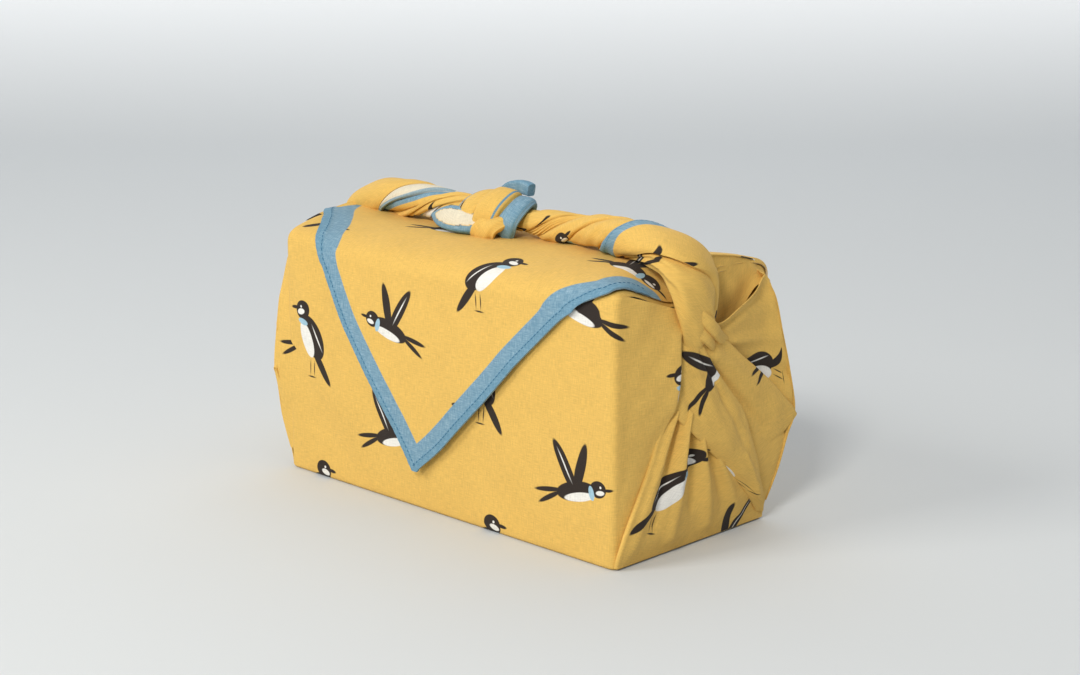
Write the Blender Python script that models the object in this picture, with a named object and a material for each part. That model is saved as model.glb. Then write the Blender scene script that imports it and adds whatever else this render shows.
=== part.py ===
"""Furoshiki wrap: one square of cotton wrapped on its diagonal into a long box form and tied on top.

Blender 4.5, metres, +Z up. X runs along the wrap, -Y is its front, and the origin is the middle of its
base. The cloth is one closed solid: a sheet that runs from the inner flap over the top, down the front,
under the floor, up the back and over the top again to the hanging point, with the two gathered ends
folded on the end walls, twisted into tails and tied.
"""

import math

import bmesh
import bpy
import numpy as np
from mathutils import Matrix

LENGTH = 0.294
DEPTH = 0.140
SHOULDER = 0.148  # where the walls turn over into the top
TOP_RISE = 0.019  # from the shoulder to the crest
TOP_SQUARENESS = 2.6  # exponent of the superellipse over the top
CORNER_RADIUS = 0.005  # of the four upright edges
BASE_CHAMFER = 0.002
SHEET = 0.002
LAYER_GAP = 0.001
STEP_OUT = SHEET + LAYER_GAP
FRONT_BULGE = 0.0015
FORM_FORWARD = 0.00203  # the form's middle, in front of the middle of the whole with its ears
CORNER_ANGLES = (64, 40, 0)  # degrees round an upright edge, from its outermost point
STRIP_HALF = LENGTH / 2 - CORNER_RADIUS * (1 - math.sin(math.radians(CORNER_ANGLES[0])))
PLATE_INSET = 0.0008  # of the wall behind an end's folds
PLATE_FOOT = 0.0005

# Rows of the wrapped sheet: heights on the walls, turns over the top in degrees, and shares of the
# floor from front to back.
WALL_HEIGHTS = (0.003, 0.026, 0.062, 0.100, 0.132, SHOULDER)
TOP_TURNS = (8, 20, 34, 50, 70, 90, 110, 130, 146, 160, 172)
FLOOR_SHARES = (-1, -0.5, 0, 0.5, 1)

# Edges of the hanging point. Columns: way down from the front shoulder, x of the left edge, x of the
# right edge, distance off the layer behind it. Negative rows lie on the top, back towards the knot.
FLAP_ROWS = (
    (-0.086, -0.1455, 0.1455, 0.0000),
    (-0.060, -0.1400, 0.1455, 0.0000),
    (-0.030, -0.1270, 0.1455, 0.0000),
    (-0.012, -0.1170, 0.1340, 0.0000),
    (0.002, -0.1050, 0.1130, 0.0000),
    (0.015, -0.0980, 0.0970, 0.0003),
    (0.039, -0.0840, 0.0720, 0.0010),
    (0.062, -0.0650, 0.0500, 0.0014),
    (0.083, -0.0470, 0.0290, 0.0018),
    (0.102, -0.0310, 0.0100, 0.0022),
    (0.117, -0.0190, -0.0080, 0.0030),
    (0.121, -0.0155, -0.0115, 0.0034),
)

# Folds on an end wall, from the neck downwards. Columns: y, z and distance out of the end wall for the
# left edge, the same for the right edge, and how far the middle stands prouder than the edges.
# The left end has the same folds turned half round, and its ear stands out by EAR_LEFT of the right one
# past these two limits, back along the end and out of it.
EAR_LEFT = 0.45
EAR_BACK_LIMIT = DEPTH / 2 - 0.003
EAR_OUT_LIMIT = 0.009
FRONT_WRAP = (
    (-0.0680, 0.1560, 0.0005, -0.0300, 0.1600, 0.0020, 0.0005),
    (-0.0690, 0.1420, 0.0010, -0.0130, 0.1440, 0.0040, 0.0010),
    (-0.0690, 0.1140, 0.0010, -0.0080, 0.1140, 0.0040, 0.0012),
    (-0.0690, 0.0970, 0.0010, -0.0140, 0.0970, 0.0030, 0.0012),
    (-0.0690, 0.0800, 0.0010, -0.0310, 0.0810, 0.0025, 0.0010),
    (-0.0690, 0.0560, 0.0010, -0.0425, 0.0560, 0.0025, 0.0008),
    (-0.0690, 0.0280, 0.0010, -0.0580, 0.0280, 0.0022, 0.0004),
    (-0.0690, 0.0020, 0.0005, -0.0660, 0.0020, 0.0012, 0.0000),
)
LOWER_PANEL = (
    (-0.0220, 0.1260, 0.0080, 0.0080, 0.1240, 0.0070, 0.0000),
    (-0.0240, 0.1020, 0.0060, 0.0240, 0.0950, 0.0060, 0.0005),
    (-0.0330, 0.0820, 0.0055, 0.0480, 0.0780, 0.0075, 0.0010),
    (-0.0440, 0.0570, 0.0055, 0.0740, 0.0560, 0.0105, 0.0012),
    (-0.0590, 0.0300, 0.0055, 0.0720, 0.0320, 0.0070, 0.0014),
    (-0.0660, 0.0120, 0.0040, 0.0675, 0.0120, 0.0025, 0.0012),
    (-0.0665, 0.0010, 0.0010, 0.0665, 0.0010, 0.0010, 0.0000),
)
DIAGONAL_BAND = (
    (-0.0260, 0.1340, 0.0110, -0.0120, 0.1330, 0.0110, 0.0010),
    (-0.0280, 0.1160, 0.0105, -0.0010, 0.1130, 0.0110, 0.0025),
    (-0.0275, 0.0980, 0.0100, 0.0130, 0.0960, 0.0110, 0.0035),
    (-0.0250, 0.0840, 0.0090, 0.0270, 0.0800, 0.0110, 0.0040),
    (-0.0120, 0.0710, 0.0085, 0.0360, 0.0620, 0.0105, 0.0040),
    (0.0060, 0.0560, 0.0080, 0.0430, 0.0480, 0.0100, 0.0035),
    (0.0260, 0.0390, 0.0075, 0.0480, 0.0340, 0.0090, 0.0025),
    (0.0450, 0.0210, 0.0065, 0.0560, 0.0190, 0.0075, 0.0010),
    (0.0590, 0.0070, 0.0030, 0.0630, 0.0060, 0.0030, 0.0000),
)
REAR_EAR = (
    (-0.0150, 0.1250, 0.0100, -0.0050, 0.1310, 0.0110, 0.0010),
    (0.0000, 0.0980, 0.0075, 0.0130, 0.1230, 0.0110, 0.0020),
    (0.0160, 0.0790, 0.0075, 0.0270, 0.1120, 0.0110, 0.0030),
    (0.0300, 0.0660, 0.0075, 0.0420, 0.1010, 0.0110, 0.0030),
    (0.0420, 0.0560, 0.0080, 0.0560, 0.0900, 0.0110, 0.0025),
    (0.0540, 0.0500, 0.0090, 0.0680, 0.0790, 0.0115, 0.0020),
    (0.0680, 0.0540, 0.0105, 0.0770, 0.0710, 0.0120, 0.0010),
    (0.0780, 0.0610, 0.0120, 0.0810, 0.0660, 0.0125, 0.0000),
)
REAR_WRAP = (
    (-0.0100, 0.1290, 0.0080, -0.0060, 0.1380, 0.0120, 0.0000),
    (0.0100, 0.1190, 0.0080, 0.0080, 0.1360, 0.0135, 0.0000),
    (0.0260, 0.1060, 0.0080, 0.0240, 0.1425, 0.0135, 0.0005),
    (0.0420, 0.0940, 0.0080, 0.0390, 0.1500, 0.0130, 0.0010),
    (0.0560, 0.0840, 0.0090, 0.0500, 0.1580, 0.0110, 0.0010),
    (0.0670, 0.0760, 0.0105, 0.0570, 0.1450, 0.0130, 0.0008),
    (0.0750, 0.0700, 0.0120, 0.0640, 0.1220, 0.0140, 0.0004),
    (0.0800, 0.0670, 0.0135, 0.0720, 0.0980, 0.0142, 0.0000),
)
REAR_FLARE = (
    (0.0500, 0.1590, 0.0095, 0.0660, 0.1590, -0.0120, -0.0010),
    (0.0575, 0.1450, 0.0135, 0.0690, 0.1450, -0.0200, -0.0010),
    (0.0645, 0.1220, 0.0145, 0.0700, 0.1220, -0.0280, -0.0008),
    (0.0725, 0.0970, 0.0148, 0.0700, 0.0970, -0.0330, -0.0004),
    (0.0800, 0.0700, 0.0140, 0.0700, 0.0700, -0.0340, 0.0000),
    (0.0760, 0.0540, 0.0120, 0.0700, 0.0520, -0.0280, 0.0000),
    (0.0725, 0.0320, 0.0080, 0.0698, 0.0320, -0.0180, 0.0000),
    (0.0680, 0.0120, 0.0030, 0.0685, 0.0120, -0.0100, 0.0000),
)
DISH = (
    (-0.0080, 0.1300, 0.0060, -0.0060, 0.1720, -0.0010, 0.0000),
    (0.0070, 0.1280, 0.0030, 0.0070, 0.1740, -0.0010, -0.0010),
    (0.0240, 0.1310, 0.0020, 0.0240, 0.1720, -0.0010, -0.0010),
    (0.0390, 0.1390, 0.0025, 0.0400, 0.1690, -0.0010, 0.0000),
    (0.0480, 0.1510, 0.0060, 0.0540, 0.1650, -0.0020, 0.0000),
    (0.0560, 0.1540, 0.0100, 0.0640, 0.1610, -0.0060, 0.0000),
)
DISH_BACK = (
    (-0.0060, 0.1725, -0.0002, -0.0060, 0.1665, -0.0200, 0.0000),
    (0.0070, 0.1745, -0.0002, 0.0070, 0.1660, -0.0240, 0.0010),
    (0.0240, 0.1725, -0.0002, 0.0260, 0.1655, -0.0260, 0.0010),
    (0.0400, 0.1695, -0.0002, 0.0440, 0.1635, -0.0240, 0.0005),
    (0.0540, 0.1655, -0.0012, 0.0570, 0.1605, -0.0180, 0.0000),
    (0.0640, 0.1610, -0.0052, 0.0655, 0.1560, -0.0120, 0.0000),
)

# The sheets folded on an end wall. Columns: name, edges, points down the wall, points across.
END_SHEETS = (
    ("front wrap", FRONT_WRAP, 7, 4),
    ("lower panel", LOWER_PANEL, 6, 5),
    ("rear wrap", REAR_WRAP, 7, 4),
    ("ear", REAR_EAR, 7, 5),
    ("band", DIAGONAL_BAND, 8, 6),
    ("rear flare", REAR_FLARE, 7, 3),
    ("dish", DISH, 6, 4),
    ("dish back", DISH_BACK, 6, 3),
)

# The tails, from inside the neck up over the end and along the top. Columns: x, y, z, half width across
# the tail, half height, turns of twist in degrees.
RIGHT_TAIL_ROWS = (
    (0.1460, -0.0100, 0.1160, 0.0060, 0.0050, 0),
    (0.1540, -0.0110, 0.1280, 0.0120, 0.0080, 20),
    (0.1575, -0.0120, 0.1430, 0.0165, 0.0090, 45),
    (0.1560, -0.0140, 0.1600, 0.0200, 0.0105, 75),
    (0.1460, -0.0140, 0.1735, 0.0200, 0.0120, 105),
    (0.1250, -0.0120, 0.1790, 0.0170, 0.0125, 140),
    (0.1010, -0.0080, 0.1805, 0.0145, 0.0125, 180),
    (0.0780, -0.0030, 0.1795, 0.0120, 0.0110, 225),
    (0.0560, 0.0010, 0.1780, 0.0105, 0.0100, 270),
    (0.0340, 0.0010, 0.1775, 0.0105, 0.0100, 315),
    (0.0140, 0.0000, 0.1785, 0.0105, 0.0100, 350),
    (-0.0060, 0.0000, 0.1790, 0.0090, 0.0090, 390),
)
LEFT_TAIL_ROWS = (
    (-0.1460, 0.0100, 0.1160, 0.0060, 0.0050, 0),
    (-0.1540, 0.0110, 0.1280, 0.0120, 0.0080, 20),
    (-0.1575, 0.0130, 0.1420, 0.0170, 0.0090, 45),
    (-0.1560, 0.0120, 0.1580, 0.0200, 0.0105, 75),
    (-0.1490, 0.0080, 0.1705, 0.0200, 0.0120, 105),
    (-0.1300, 0.0040, 0.1770, 0.0170, 0.0130, 140),
    (-0.1050, 0.0000, 0.1800, 0.0150, 0.0130, 180),
    (-0.0800, -0.0010, 0.1805, 0.0130, 0.0120, 225),
    (-0.0570, -0.0010, 0.1800, 0.0115, 0.0110, 270),
    (-0.0340, -0.0010, 0.1795, 0.0105, 0.0105, 315),
    (-0.0140, 0.0000, 0.1790, 0.0105, 0.0100, 350),
    (0.0060, 0.0000, 0.1790, 0.0090, 0.0090, 390),
)
TAIL_FOLDS = 3
TAIL_FOLD_DEPTH = 0.14
TAIL_RINGS = 20
TAIL_AROUND = 12
KNOT_RINGS = 8
KNOT_AROUND = 8

# The wraps of the knot and its two free ends. Columns: x, y, z, half width, half thickness, lean in
# degrees.
KNOT_WRAPS = (
    (
        (-0.0290, -0.0110, 0.1690, 0.0060, 0.0045, 0),
        (-0.0310, -0.0160, 0.1790, 0.0085, 0.0055, 0),
        (-0.0250, -0.0070, 0.1890, 0.0090, 0.0060, 0),
        (-0.0150, 0.0070, 0.1880, 0.0085, 0.0055, 0),
        (-0.0100, 0.0140, 0.1770, 0.0060, 0.0045, 0),
    ),
    (
        (0.0000, -0.0140, 0.1690, 0.0060, 0.0045, 0),
        (-0.0030, -0.0180, 0.1790, 0.0085, 0.0060, 0),
        (-0.0070, -0.0070, 0.1905, 0.0095, 0.0060, 0),
        (-0.0130, 0.0060, 0.1880, 0.0085, 0.0055, 0),
        (-0.0180, 0.0130, 0.1770, 0.0060, 0.0045, 0),
    ),
    (
        (0.0110, -0.0100, 0.1700, 0.0050, 0.0040, 0),
        (0.0120, -0.0120, 0.1800, 0.0065, 0.0045, 0),
        (0.0080, -0.0020, 0.1880, 0.0070, 0.0045, 0),
        (0.0020, 0.0080, 0.1860, 0.0065, 0.0040, 0),
        (-0.0040, 0.0130, 0.1770, 0.0050, 0.0040, 0),
    ),
)
LYING_END = (
    (-0.0080, -0.0100, 0.1730, 0.0060, 0.0035, 10),
    (-0.0240, -0.0180, 0.1720, 0.0080, 0.0035, 20),
    (-0.0400, -0.0180, 0.1725, 0.0090, 0.0030, 25),
    (-0.0550, -0.0130, 0.1735, 0.0070, 0.0025, 25),
    (-0.0680, -0.0080, 0.1740, 0.0040, 0.0018, 20),
    (-0.0740, -0.0060, 0.1740, 0.0015, 0.0012, 20),
)
STANDING_END = (
    (-0.0080, 0.0060, 0.1800, 0.0070, 0.0030, 0),
    (-0.0060, 0.0100, 0.1880, 0.0095, 0.0028, 0),
    (-0.0020, 0.0110, 0.1950, 0.0110, 0.0025, 0),
    (0.0020, 0.0090, 0.2000, 0.0110, 0.0022, 0),
    (0.0050, 0.0050, 0.2020, 0.0100, 0.0018, 0),
)

MUSTARD = (0.745, 0.472, 0.105, 1.0)
COTTON_ROUGHNESS = 0.85


def smooth_rows(rows, count):
    """Rows of a table as a smooth run of `count` rows, through every one of them."""
    rows = np.asarray(rows, float)
    place = np.linspace(0, len(rows) - 1, count)
    first = np.minimum(place.astype(int), len(rows) - 2)
    part = (place - first)[:, None]
    before = rows[np.maximum(first - 1, 0)]
    start = rows[first]
    end = rows[first + 1]
    after = rows[np.minimum(first + 2, len(rows) - 1)]
    return 0.5 * (
        2 * start
        + (end - before) * part
        + (2 * before - 5 * start + 4 * end - after) * part**2
        + (3 * start - before - 3 * end + after) * part**3
    )


def unit(vectors):
    size = np.linalg.norm(vectors, axis=-1, keepdims=True)
    return vectors / np.maximum(size, 1e-12)


def grid_normals(grid):
    """Outward normals of a grid of points whose rows and columns turn right-handed about them."""
    along = np.gradient(grid, axis=0)
    across = np.gradient(grid, axis=1)
    return unit(np.cross(along, across))


def mesh_object(name, points, faces):
    mesh = bpy.data.meshes.new(name)
    mesh.from_pydata([tuple(point) for point in points], [], faces)
    work = bmesh.new()
    work.from_mesh(mesh)
    bmesh.ops.triangulate(work, faces=work.faces)
    if work.calc_volume(signed=True) < 0:
        bmesh.ops.reverse_faces(work, faces=work.faces)
    work.to_mesh(mesh)
    work.free()
    obj = bpy.data.objects.new(name, mesh)
    bpy.context.scene.collection.objects.link(obj)
    return obj


def slab(name, outer, inner):
    """A closed sheet between two grids of the same size."""
    rows, columns = outer.shape[:2]
    points = np.concatenate([outer.reshape(-1, 3), inner.reshape(-1, 3)])
    under = rows * columns

    def at(row, column):
        return row * columns + column

    faces = []
    for row in range(rows - 1):
        for column in range(columns - 1):
            quad = (
                at(row, column),
                at(row, column + 1),
                at(row + 1, column + 1),
                at(row + 1, column),
            )
            faces.append(quad)
            faces.append(tuple(under + corner for corner in reversed(quad)))
    rim = [at(0, column) for column in range(columns)]
    rim += [at(row, columns - 1) for row in range(1, rows)]
    rim += [at(rows - 1, column) for column in range(columns - 2, -1, -1)]
    rim += [at(row, 0) for row in range(rows - 2, 0, -1)]
    for start, end in zip(rim, rim[1:] + rim[:1]):
        faces.append((end, start, under + start, under + end))
    return mesh_object(name, points, faces)


def tube(name, rings):
    """A closed round body through a list of rings of points."""
    count, around = rings.shape[:2]
    points = rings.reshape(-1, 3)
    faces = [tuple(range(around))[::-1], tuple(range((count - 1) * around, count * around))]
    for ring in range(count - 1):
        near = ring * around
        far = near + around
        for side in range(around):
            following = (side + 1) % around
            faces.append((near + side, near + following, far + following, far + side))
    return mesh_object(name, points, faces)


def end_inset(x):
    """How far the walls have turned in at x, where the upright edges are rounded."""
    past = np.clip(abs(x) - (LENGTH / 2 - CORNER_RADIUS), 0, CORNER_RADIUS)
    return CORNER_RADIUS - math.sqrt(CORNER_RADIUS**2 - past**2)


def top_section(x, turn):
    """y and z of the top at x, for a turn of 0 at the back shoulder to 180 degrees at the front one."""
    inset = end_inset(x)
    cosine = math.cos(turn)
    sine = max(math.sin(turn), 0.0)
    power = 2 / TOP_SQUARENESS
    y = (DEPTH / 2 - inset) * math.copysign(abs(cosine) ** power, cosine)
    z = SHOULDER + (TOP_RISE - inset) * sine**power
    return y, z


def wall_section(x, side, height):
    """y and z of the front wall (side -1) or the back wall (side 1) at a height."""
    bulge = FRONT_BULGE * math.sin(math.pi * height / SHOULDER) * (1 - (2 * x / LENGTH) ** 2)
    return side * (DEPTH / 2 - end_inset(x) + max(bulge, 0.0)), height


def flap_at(down, mirrored):
    """Left edge, right edge and lift of a flap at a distance down from its shoulder."""
    columns = np.asarray(FLAP_ROWS).T
    left, right, lift = (np.interp(down, columns[0], columns[i]) for i in (1, 2, 3))
    if mirrored:
        left, right = -right, -left
    return left, right, lift


def strip_stations():
    """The cloth's way round the form, as (function of x, offset, flap distance, flap is mirrored)."""
    drop_rows = [row[0] for row in FLAP_ROWS if row[0] > 0]
    turns = [math.radians(turn) for turn in TOP_TURNS]
    stations = []
    for down in reversed(drop_rows):
        stations.append((lambda x, z=SHOULDER - down: wall_section(x, 1, z), -1, down, True))
    for turn in [0.0] + turns:
        down = top_section(0, turn)[0] - DEPTH / 2
        stations.append((lambda x, t=turn: top_section(x, t), -(1 + math.cos(turn)) / 2, down, True))
    for height in reversed(WALL_HEIGHTS):
        stations.append((lambda x, z=height: wall_section(x, -1, z), 0, None, False))
    for share in FLOOR_SHARES:
        half = DEPTH / 2 - BASE_CHAMFER
        stations.append((lambda x, s=share, h=half: (s * (h - end_inset(x)), 0.0), 0, None, False))
    for height in WALL_HEIGHTS:
        stations.append((lambda x, z=height: wall_section(x, 1, z), 0, None, False))
    for turn in turns + [math.pi]:
        down = -top_section(0, turn)[0] - DEPTH / 2
        stations.append((lambda x, t=turn: top_section(x, t), (1 - math.cos(turn)) / 2, down, False))
    for down in drop_rows:
        stations.append((lambda x, z=SHOULDER - down: wall_section(x, -1, z), 1, down, False))
    return stations


def across_places(left, right):
    """x of each column between two edges, closer together near the edges."""
    bend = CORNER_RADIUS
    half = LENGTH / 2
    near = [bend * (1 - math.sin(math.radians(angle))) for angle in CORNER_ANGLES]
    full = [-half + step for step in near]
    full += list(np.linspace(-half + 3 * bend, half - 3 * bend, 6))
    full += [half - step for step in reversed(near)]
    share = (np.array(full) - full[0]) / (full[-1] - full[0])
    return left + share * (right - left)


def wrapped_strip():
    stations = strip_stations()
    columns = len(across_places(-STRIP_HALF, STRIP_HALF))
    outer = np.zeros((len(stations), columns, 3))
    for row, (section, _, down, mirrored) in enumerate(stations):
        left, right = -STRIP_HALF, STRIP_HALF
        if down is not None:
            left, right, _ = flap_at(down, mirrored)
            left, right = max(left, -STRIP_HALF), min(right, STRIP_HALF)
        for column, x in enumerate(across_places(left, right)):
            outer[row, column] = (x, *section(x))
    profile = outer[:, :, 1:]
    along = np.gradient(profile, axis=0)
    out = unit(np.stack([along[..., 1], -along[..., 0]], axis=-1))
    for row, (_, offset, down, mirrored) in enumerate(stations):
        lift = 0.0 if down is None else flap_at(down, mirrored)[2]
        shift = offset * (STEP_OUT + lift * abs(offset))
        outer[row, :, 1:] += out[row] * shift
    inner = outer.copy()
    inner[:, :, 1:] -= out * SHEET
    return slab("strip", outer, inner)


def end_plate(end):
    """The flat wall behind the folds of one end, 1 for the right one and -1 for the left one."""
    heights = (PLATE_FOOT, SHOULDER / 2, SHOULDER)
    rim = [wall_section(STRIP_HALF, 1, z) for z in heights]
    rim += [top_section(STRIP_HALF, math.radians(a)) for a in range(15, 180, 15)]
    rim += [wall_section(STRIP_HALF, -1, z) for z in reversed(heights)]
    middle = np.array((0.0, SHOULDER / 2))
    rim = middle + (np.array(rim) - middle) * (1 - SHEET / DEPTH)
    rim[:, 1] = np.maximum(rim[:, 1], PLATE_FOOT)
    faces_at = (LENGTH / 2 - PLATE_INSET, LENGTH / 2 - PLATE_INSET - SHEET)
    rings = np.array([[(end * x, end * y, z) for y, z in rim] for x in faces_at])
    return tube("plate", rings)


def ear_drawn_in(values, limit):
    """What passes a limit, cut down to the left end's share of it."""
    return np.where(values > limit, limit + (values - limit) * EAR_LEFT, values)


def end_fold(name, end, rows, along, across):
    """A sheet between two edge curves on an end wall."""
    table = smooth_rows(rows, along)
    if end < 0:
        table[:, [0, 3]] = ear_drawn_in(table[:, [0, 3]], EAR_BACK_LIMIT)
        table[:, [2, 5]] = ear_drawn_in(table[:, [2, 5]], EAR_OUT_LIMIT)
    share = np.linspace(0, 1, across)
    share = 0.5 - 0.5 * np.cos(math.pi * share)
    left = table[:, None, 0:3]
    right = table[:, None, 3:6]
    place = left + (right - left) * share[None, :, None]
    place[..., 2] += table[:, None, 6] * (1 - (2 * share - 1) ** 2)
    grid = np.stack([LENGTH / 2 + place[..., 2], place[..., 0], place[..., 1]], axis=-1)
    out = grid_normals(grid)
    if out.mean(axis=(0, 1)).sum() < 0:
        out = -out
    inner = grid - out * SHEET
    if end < 0:
        turn = np.array((-1.0, -1.0, 1.0))
        grid, inner = grid * turn, inner * turn
    return slab(name, grid, inner)


def swept(name, rows, count, around, across, folds=0, depth=0.0):
    """A tapering body along a path, wide towards `across`, with long folds that turn round it."""
    table = smooth_rows(rows, count)
    path = table[:, :3]
    ahead = unit(np.gradient(path, axis=0))
    across = np.array(across, float)
    side = unit(across - (ahead @ across)[:, None] * ahead)
    above = np.cross(ahead, side)
    angle = np.linspace(0, 2 * math.pi, around, endpoint=False)[None, :]
    twist = np.radians(table[:, 5])[:, None]
    shape = 1 + depth * np.cos(folds * (angle - twist))
    lean = np.zeros_like(twist) if folds else twist
    width = table[:, 3, None] * shape * np.cos(angle)
    height = table[:, 4, None] * shape * np.sin(angle)
    turned_width = width * np.cos(lean) - height * np.sin(lean)
    turned_height = width * np.sin(lean) + height * np.cos(lean)
    rings = (
        path[:, None, :]
        + turned_width[..., None] * side[:, None, :]
        + turned_height[..., None] * above[:, None, :]
    )
    return tube(name, rings)


def without_pockets(mesh):
    """The mesh's largest skin alone: where folds cross, a union leaves small sealed pockets inside."""
    work = bmesh.new()
    work.from_mesh(mesh)
    left = set(work.verts)
    skins = []
    while left:
        skin = set()
        edge_of_skin = [left.pop()]
        while edge_of_skin:
            vertex = edge_of_skin.pop()
            skin.add(vertex)
            near = {edge.other_vert(vertex) for edge in vertex.link_edges} & left
            left -= near
            edge_of_skin += near
        skins.append(skin)
    skins.sort(key=len)
    for skin in skins[:-1]:
        bmesh.ops.delete(work, geom=list(skin), context="VERTS")
    work.to_mesh(mesh)
    work.free()


def joined(pieces, name):
    """One body from overlapping ones."""
    whole = pieces[0]
    for piece in pieces[1:]:
        union = whole.modifiers.new("join", "BOOLEAN")
        union.operation = "UNION"
        union.solver = "MANIFOLD"
        union.object = piece
        bpy.context.view_layer.update()
        graph = bpy.context.evaluated_depsgraph_get()
        mesh = bpy.data.meshes.new_from_object(whole.evaluated_get(graph))
        whole.modifiers.clear()
        whole.data = mesh
        bpy.data.objects.remove(piece)
    without_pockets(whole.data)
    whole.name = name
    whole.data.name = name
    return whole


def cotton():
    material = bpy.data.materials.new("mustard cotton")
    material.use_nodes = True
    surface = material.node_tree.nodes["Principled BSDF"]
    surface.inputs["Base Color"].default_value = MUSTARD
    surface.inputs["Roughness"].default_value = COTTON_ROUGHNESS
    surface.inputs["Metallic"].default_value = 0.0
    material.diffuse_color = MUSTARD
    return material


def folded_end(end):
    """Every sheet and the tail of one end. The left end is the right one turned half round."""
    pieces = [end_plate(end)]
    for name, rows, along, across in END_SHEETS:
        pieces.append(end_fold(name, end, rows, along, across))
    rows = RIGHT_TAIL_ROWS if end > 0 else LEFT_TAIL_ROWS
    across = (0, end, 0)
    pieces.append(swept("tail", rows, TAIL_RINGS, TAIL_AROUND, across, TAIL_FOLDS, TAIL_FOLD_DEPTH))
    return pieces


def knot():
    pieces = [swept("knot wrap", rows, KNOT_RINGS, KNOT_AROUND, (1, 0, 0)) for rows in KNOT_WRAPS]
    pieces.append(swept("lying end", LYING_END, KNOT_RINGS, KNOT_AROUND, (0, 1, 0)))
    pieces.append(swept("standing end", STANDING_END, KNOT_RINGS, KNOT_AROUND, (1, 0, 0)))
    return pieces


def main():
    for obj in list(bpy.data.objects):
        bpy.data.objects.remove(obj)
    pieces = [wrapped_strip()]
    for end in (1, -1):
        pieces += folded_end(end)
    pieces += knot()
    cloth = joined(pieces, "furoshiki")
    cloth.data.transform(Matrix.Translation((0.0, -FORM_FORWARD, 0.0)))
    cloth.data.materials.clear()
    cloth.data.materials.append(cotton())
    cloth.data.shade_smooth()
    cloth.data.set_sharp_from_angle(angle=math.radians(40))


if __name__ == "__main__":
    main()
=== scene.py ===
"""Looks of the furoshiki wrap: printed cotton with a blue border, wrapped, twisted and tied.

Blender 4.5, metres, +Z up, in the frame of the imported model. X runs along the wrap and -Y is its front.
Every piece is the same square of cloth: the wrapped body, the folds on the two ends, the two twisted
tails, the knot, and the stitches of the hem.
"""

import math

import bpy
import numpy as np
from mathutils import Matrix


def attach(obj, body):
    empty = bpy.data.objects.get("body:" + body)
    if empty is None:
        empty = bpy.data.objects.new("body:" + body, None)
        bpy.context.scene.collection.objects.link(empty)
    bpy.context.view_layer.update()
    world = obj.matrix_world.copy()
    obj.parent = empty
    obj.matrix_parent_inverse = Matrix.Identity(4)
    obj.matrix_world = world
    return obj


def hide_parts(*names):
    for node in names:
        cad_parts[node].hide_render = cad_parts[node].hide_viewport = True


bl_info = {
    "name": "Furoshiki Wrap",
    "version": (1, 0, 0),
    "blender": (4, 5, 0),
    "location": "3D View > Sidebar > Furoshiki",
    "description": "Dresses a wrapped and knotted cloth in printed cotton",
    "category": "Add Mesh",
}

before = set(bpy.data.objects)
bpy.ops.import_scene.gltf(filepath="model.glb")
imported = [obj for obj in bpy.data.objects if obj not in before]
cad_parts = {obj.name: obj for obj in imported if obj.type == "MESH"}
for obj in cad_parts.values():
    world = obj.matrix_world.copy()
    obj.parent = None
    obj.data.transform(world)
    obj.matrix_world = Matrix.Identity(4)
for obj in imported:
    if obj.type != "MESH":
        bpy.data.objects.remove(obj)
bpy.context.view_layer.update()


def in_metres(*rows, lengths=None):
    """A table in millimetres as metres. With `lengths`, only that many of its first columns are lengths."""
    table = np.array(rows, float)
    table[:, :lengths] /= 1000
    return table


# The form under the cloth, as in the solid model, in metres.
LENGTH = 0.294
DEPTH = 0.140
SHOULDER = 0.148  # where the walls turn over into the top
TOP_RISE = 0.019
TOP_SQUARENESS = 2.6
CORNER_RADIUS = 0.005
BASE_ROUND = 0.0025
LAYER_STEP = 0.003
FRONT_BULGE = 0.0015
NECK_SINK = 0.016  # of the top where it is drawn down into the right neck
NECK_LIFT = 0.004  # of the top where it is drawn up to the left tail
FORM_FORWARD = 0.00203
STRIP_HALF = LENGTH / 2 - CORNER_RADIUS * (1 - math.sin(math.radians(64)))
INNER_WALL_INSET = 0.003
INNER_WALL_FOOT = 0.100
INNER_WALL_DROP = 0.0018  # of its top below the cloth that covers it
INNER_WALL_MARGIN = 0.12  # turn over the top that it leaves free at each side
FAR_FROM_HEM = 1.0
ROLL_UNDER = 0.006  # cloth that goes on under a folded edge
ROLL_STEPS = 7
FORM_MARGIN = 0.004  # past the ends of the form, where the hanging point's edges are cut off

# Edges of the hanging point. Columns: way down from the front shoulder, x of the left edge, x of the
# right edge, distance off the layer behind it. Negative rows lie on the top, back towards the knot.
FLAP_ROWS = in_metres(
    (-150, -200, 220, 0),
    (-93.5, -180, 190, 0),
    (-67.5, -156, 168, 0),
    (-56, -145, 158, 0),
    (-44.5, -134, 150, 0),
    (-36, -129, 147, 0),
    (-27, -123.5, 145.8, 0),
    (-18, -119, 144.3, 0),
    (-11, -115.5, 141.5, 0),
    (-7, -112.5, 135, 0),
    (-4, -110, 126, 0),
    (-1, -108, 118, 0),
    (2, -106, 112.5, 0),
    (6, -103, 107, 0),
    (15, -98, 97, 0.3),
    (39, -84, 72, 1),
    (62, -65, 50, 1.4),
    (83, -47, 29, 1.8),
    (102, -31, 10, 2.2),
    (117, -19, -8, 3),
    (121, -15.5, -11.5, 3.4),
)

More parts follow.
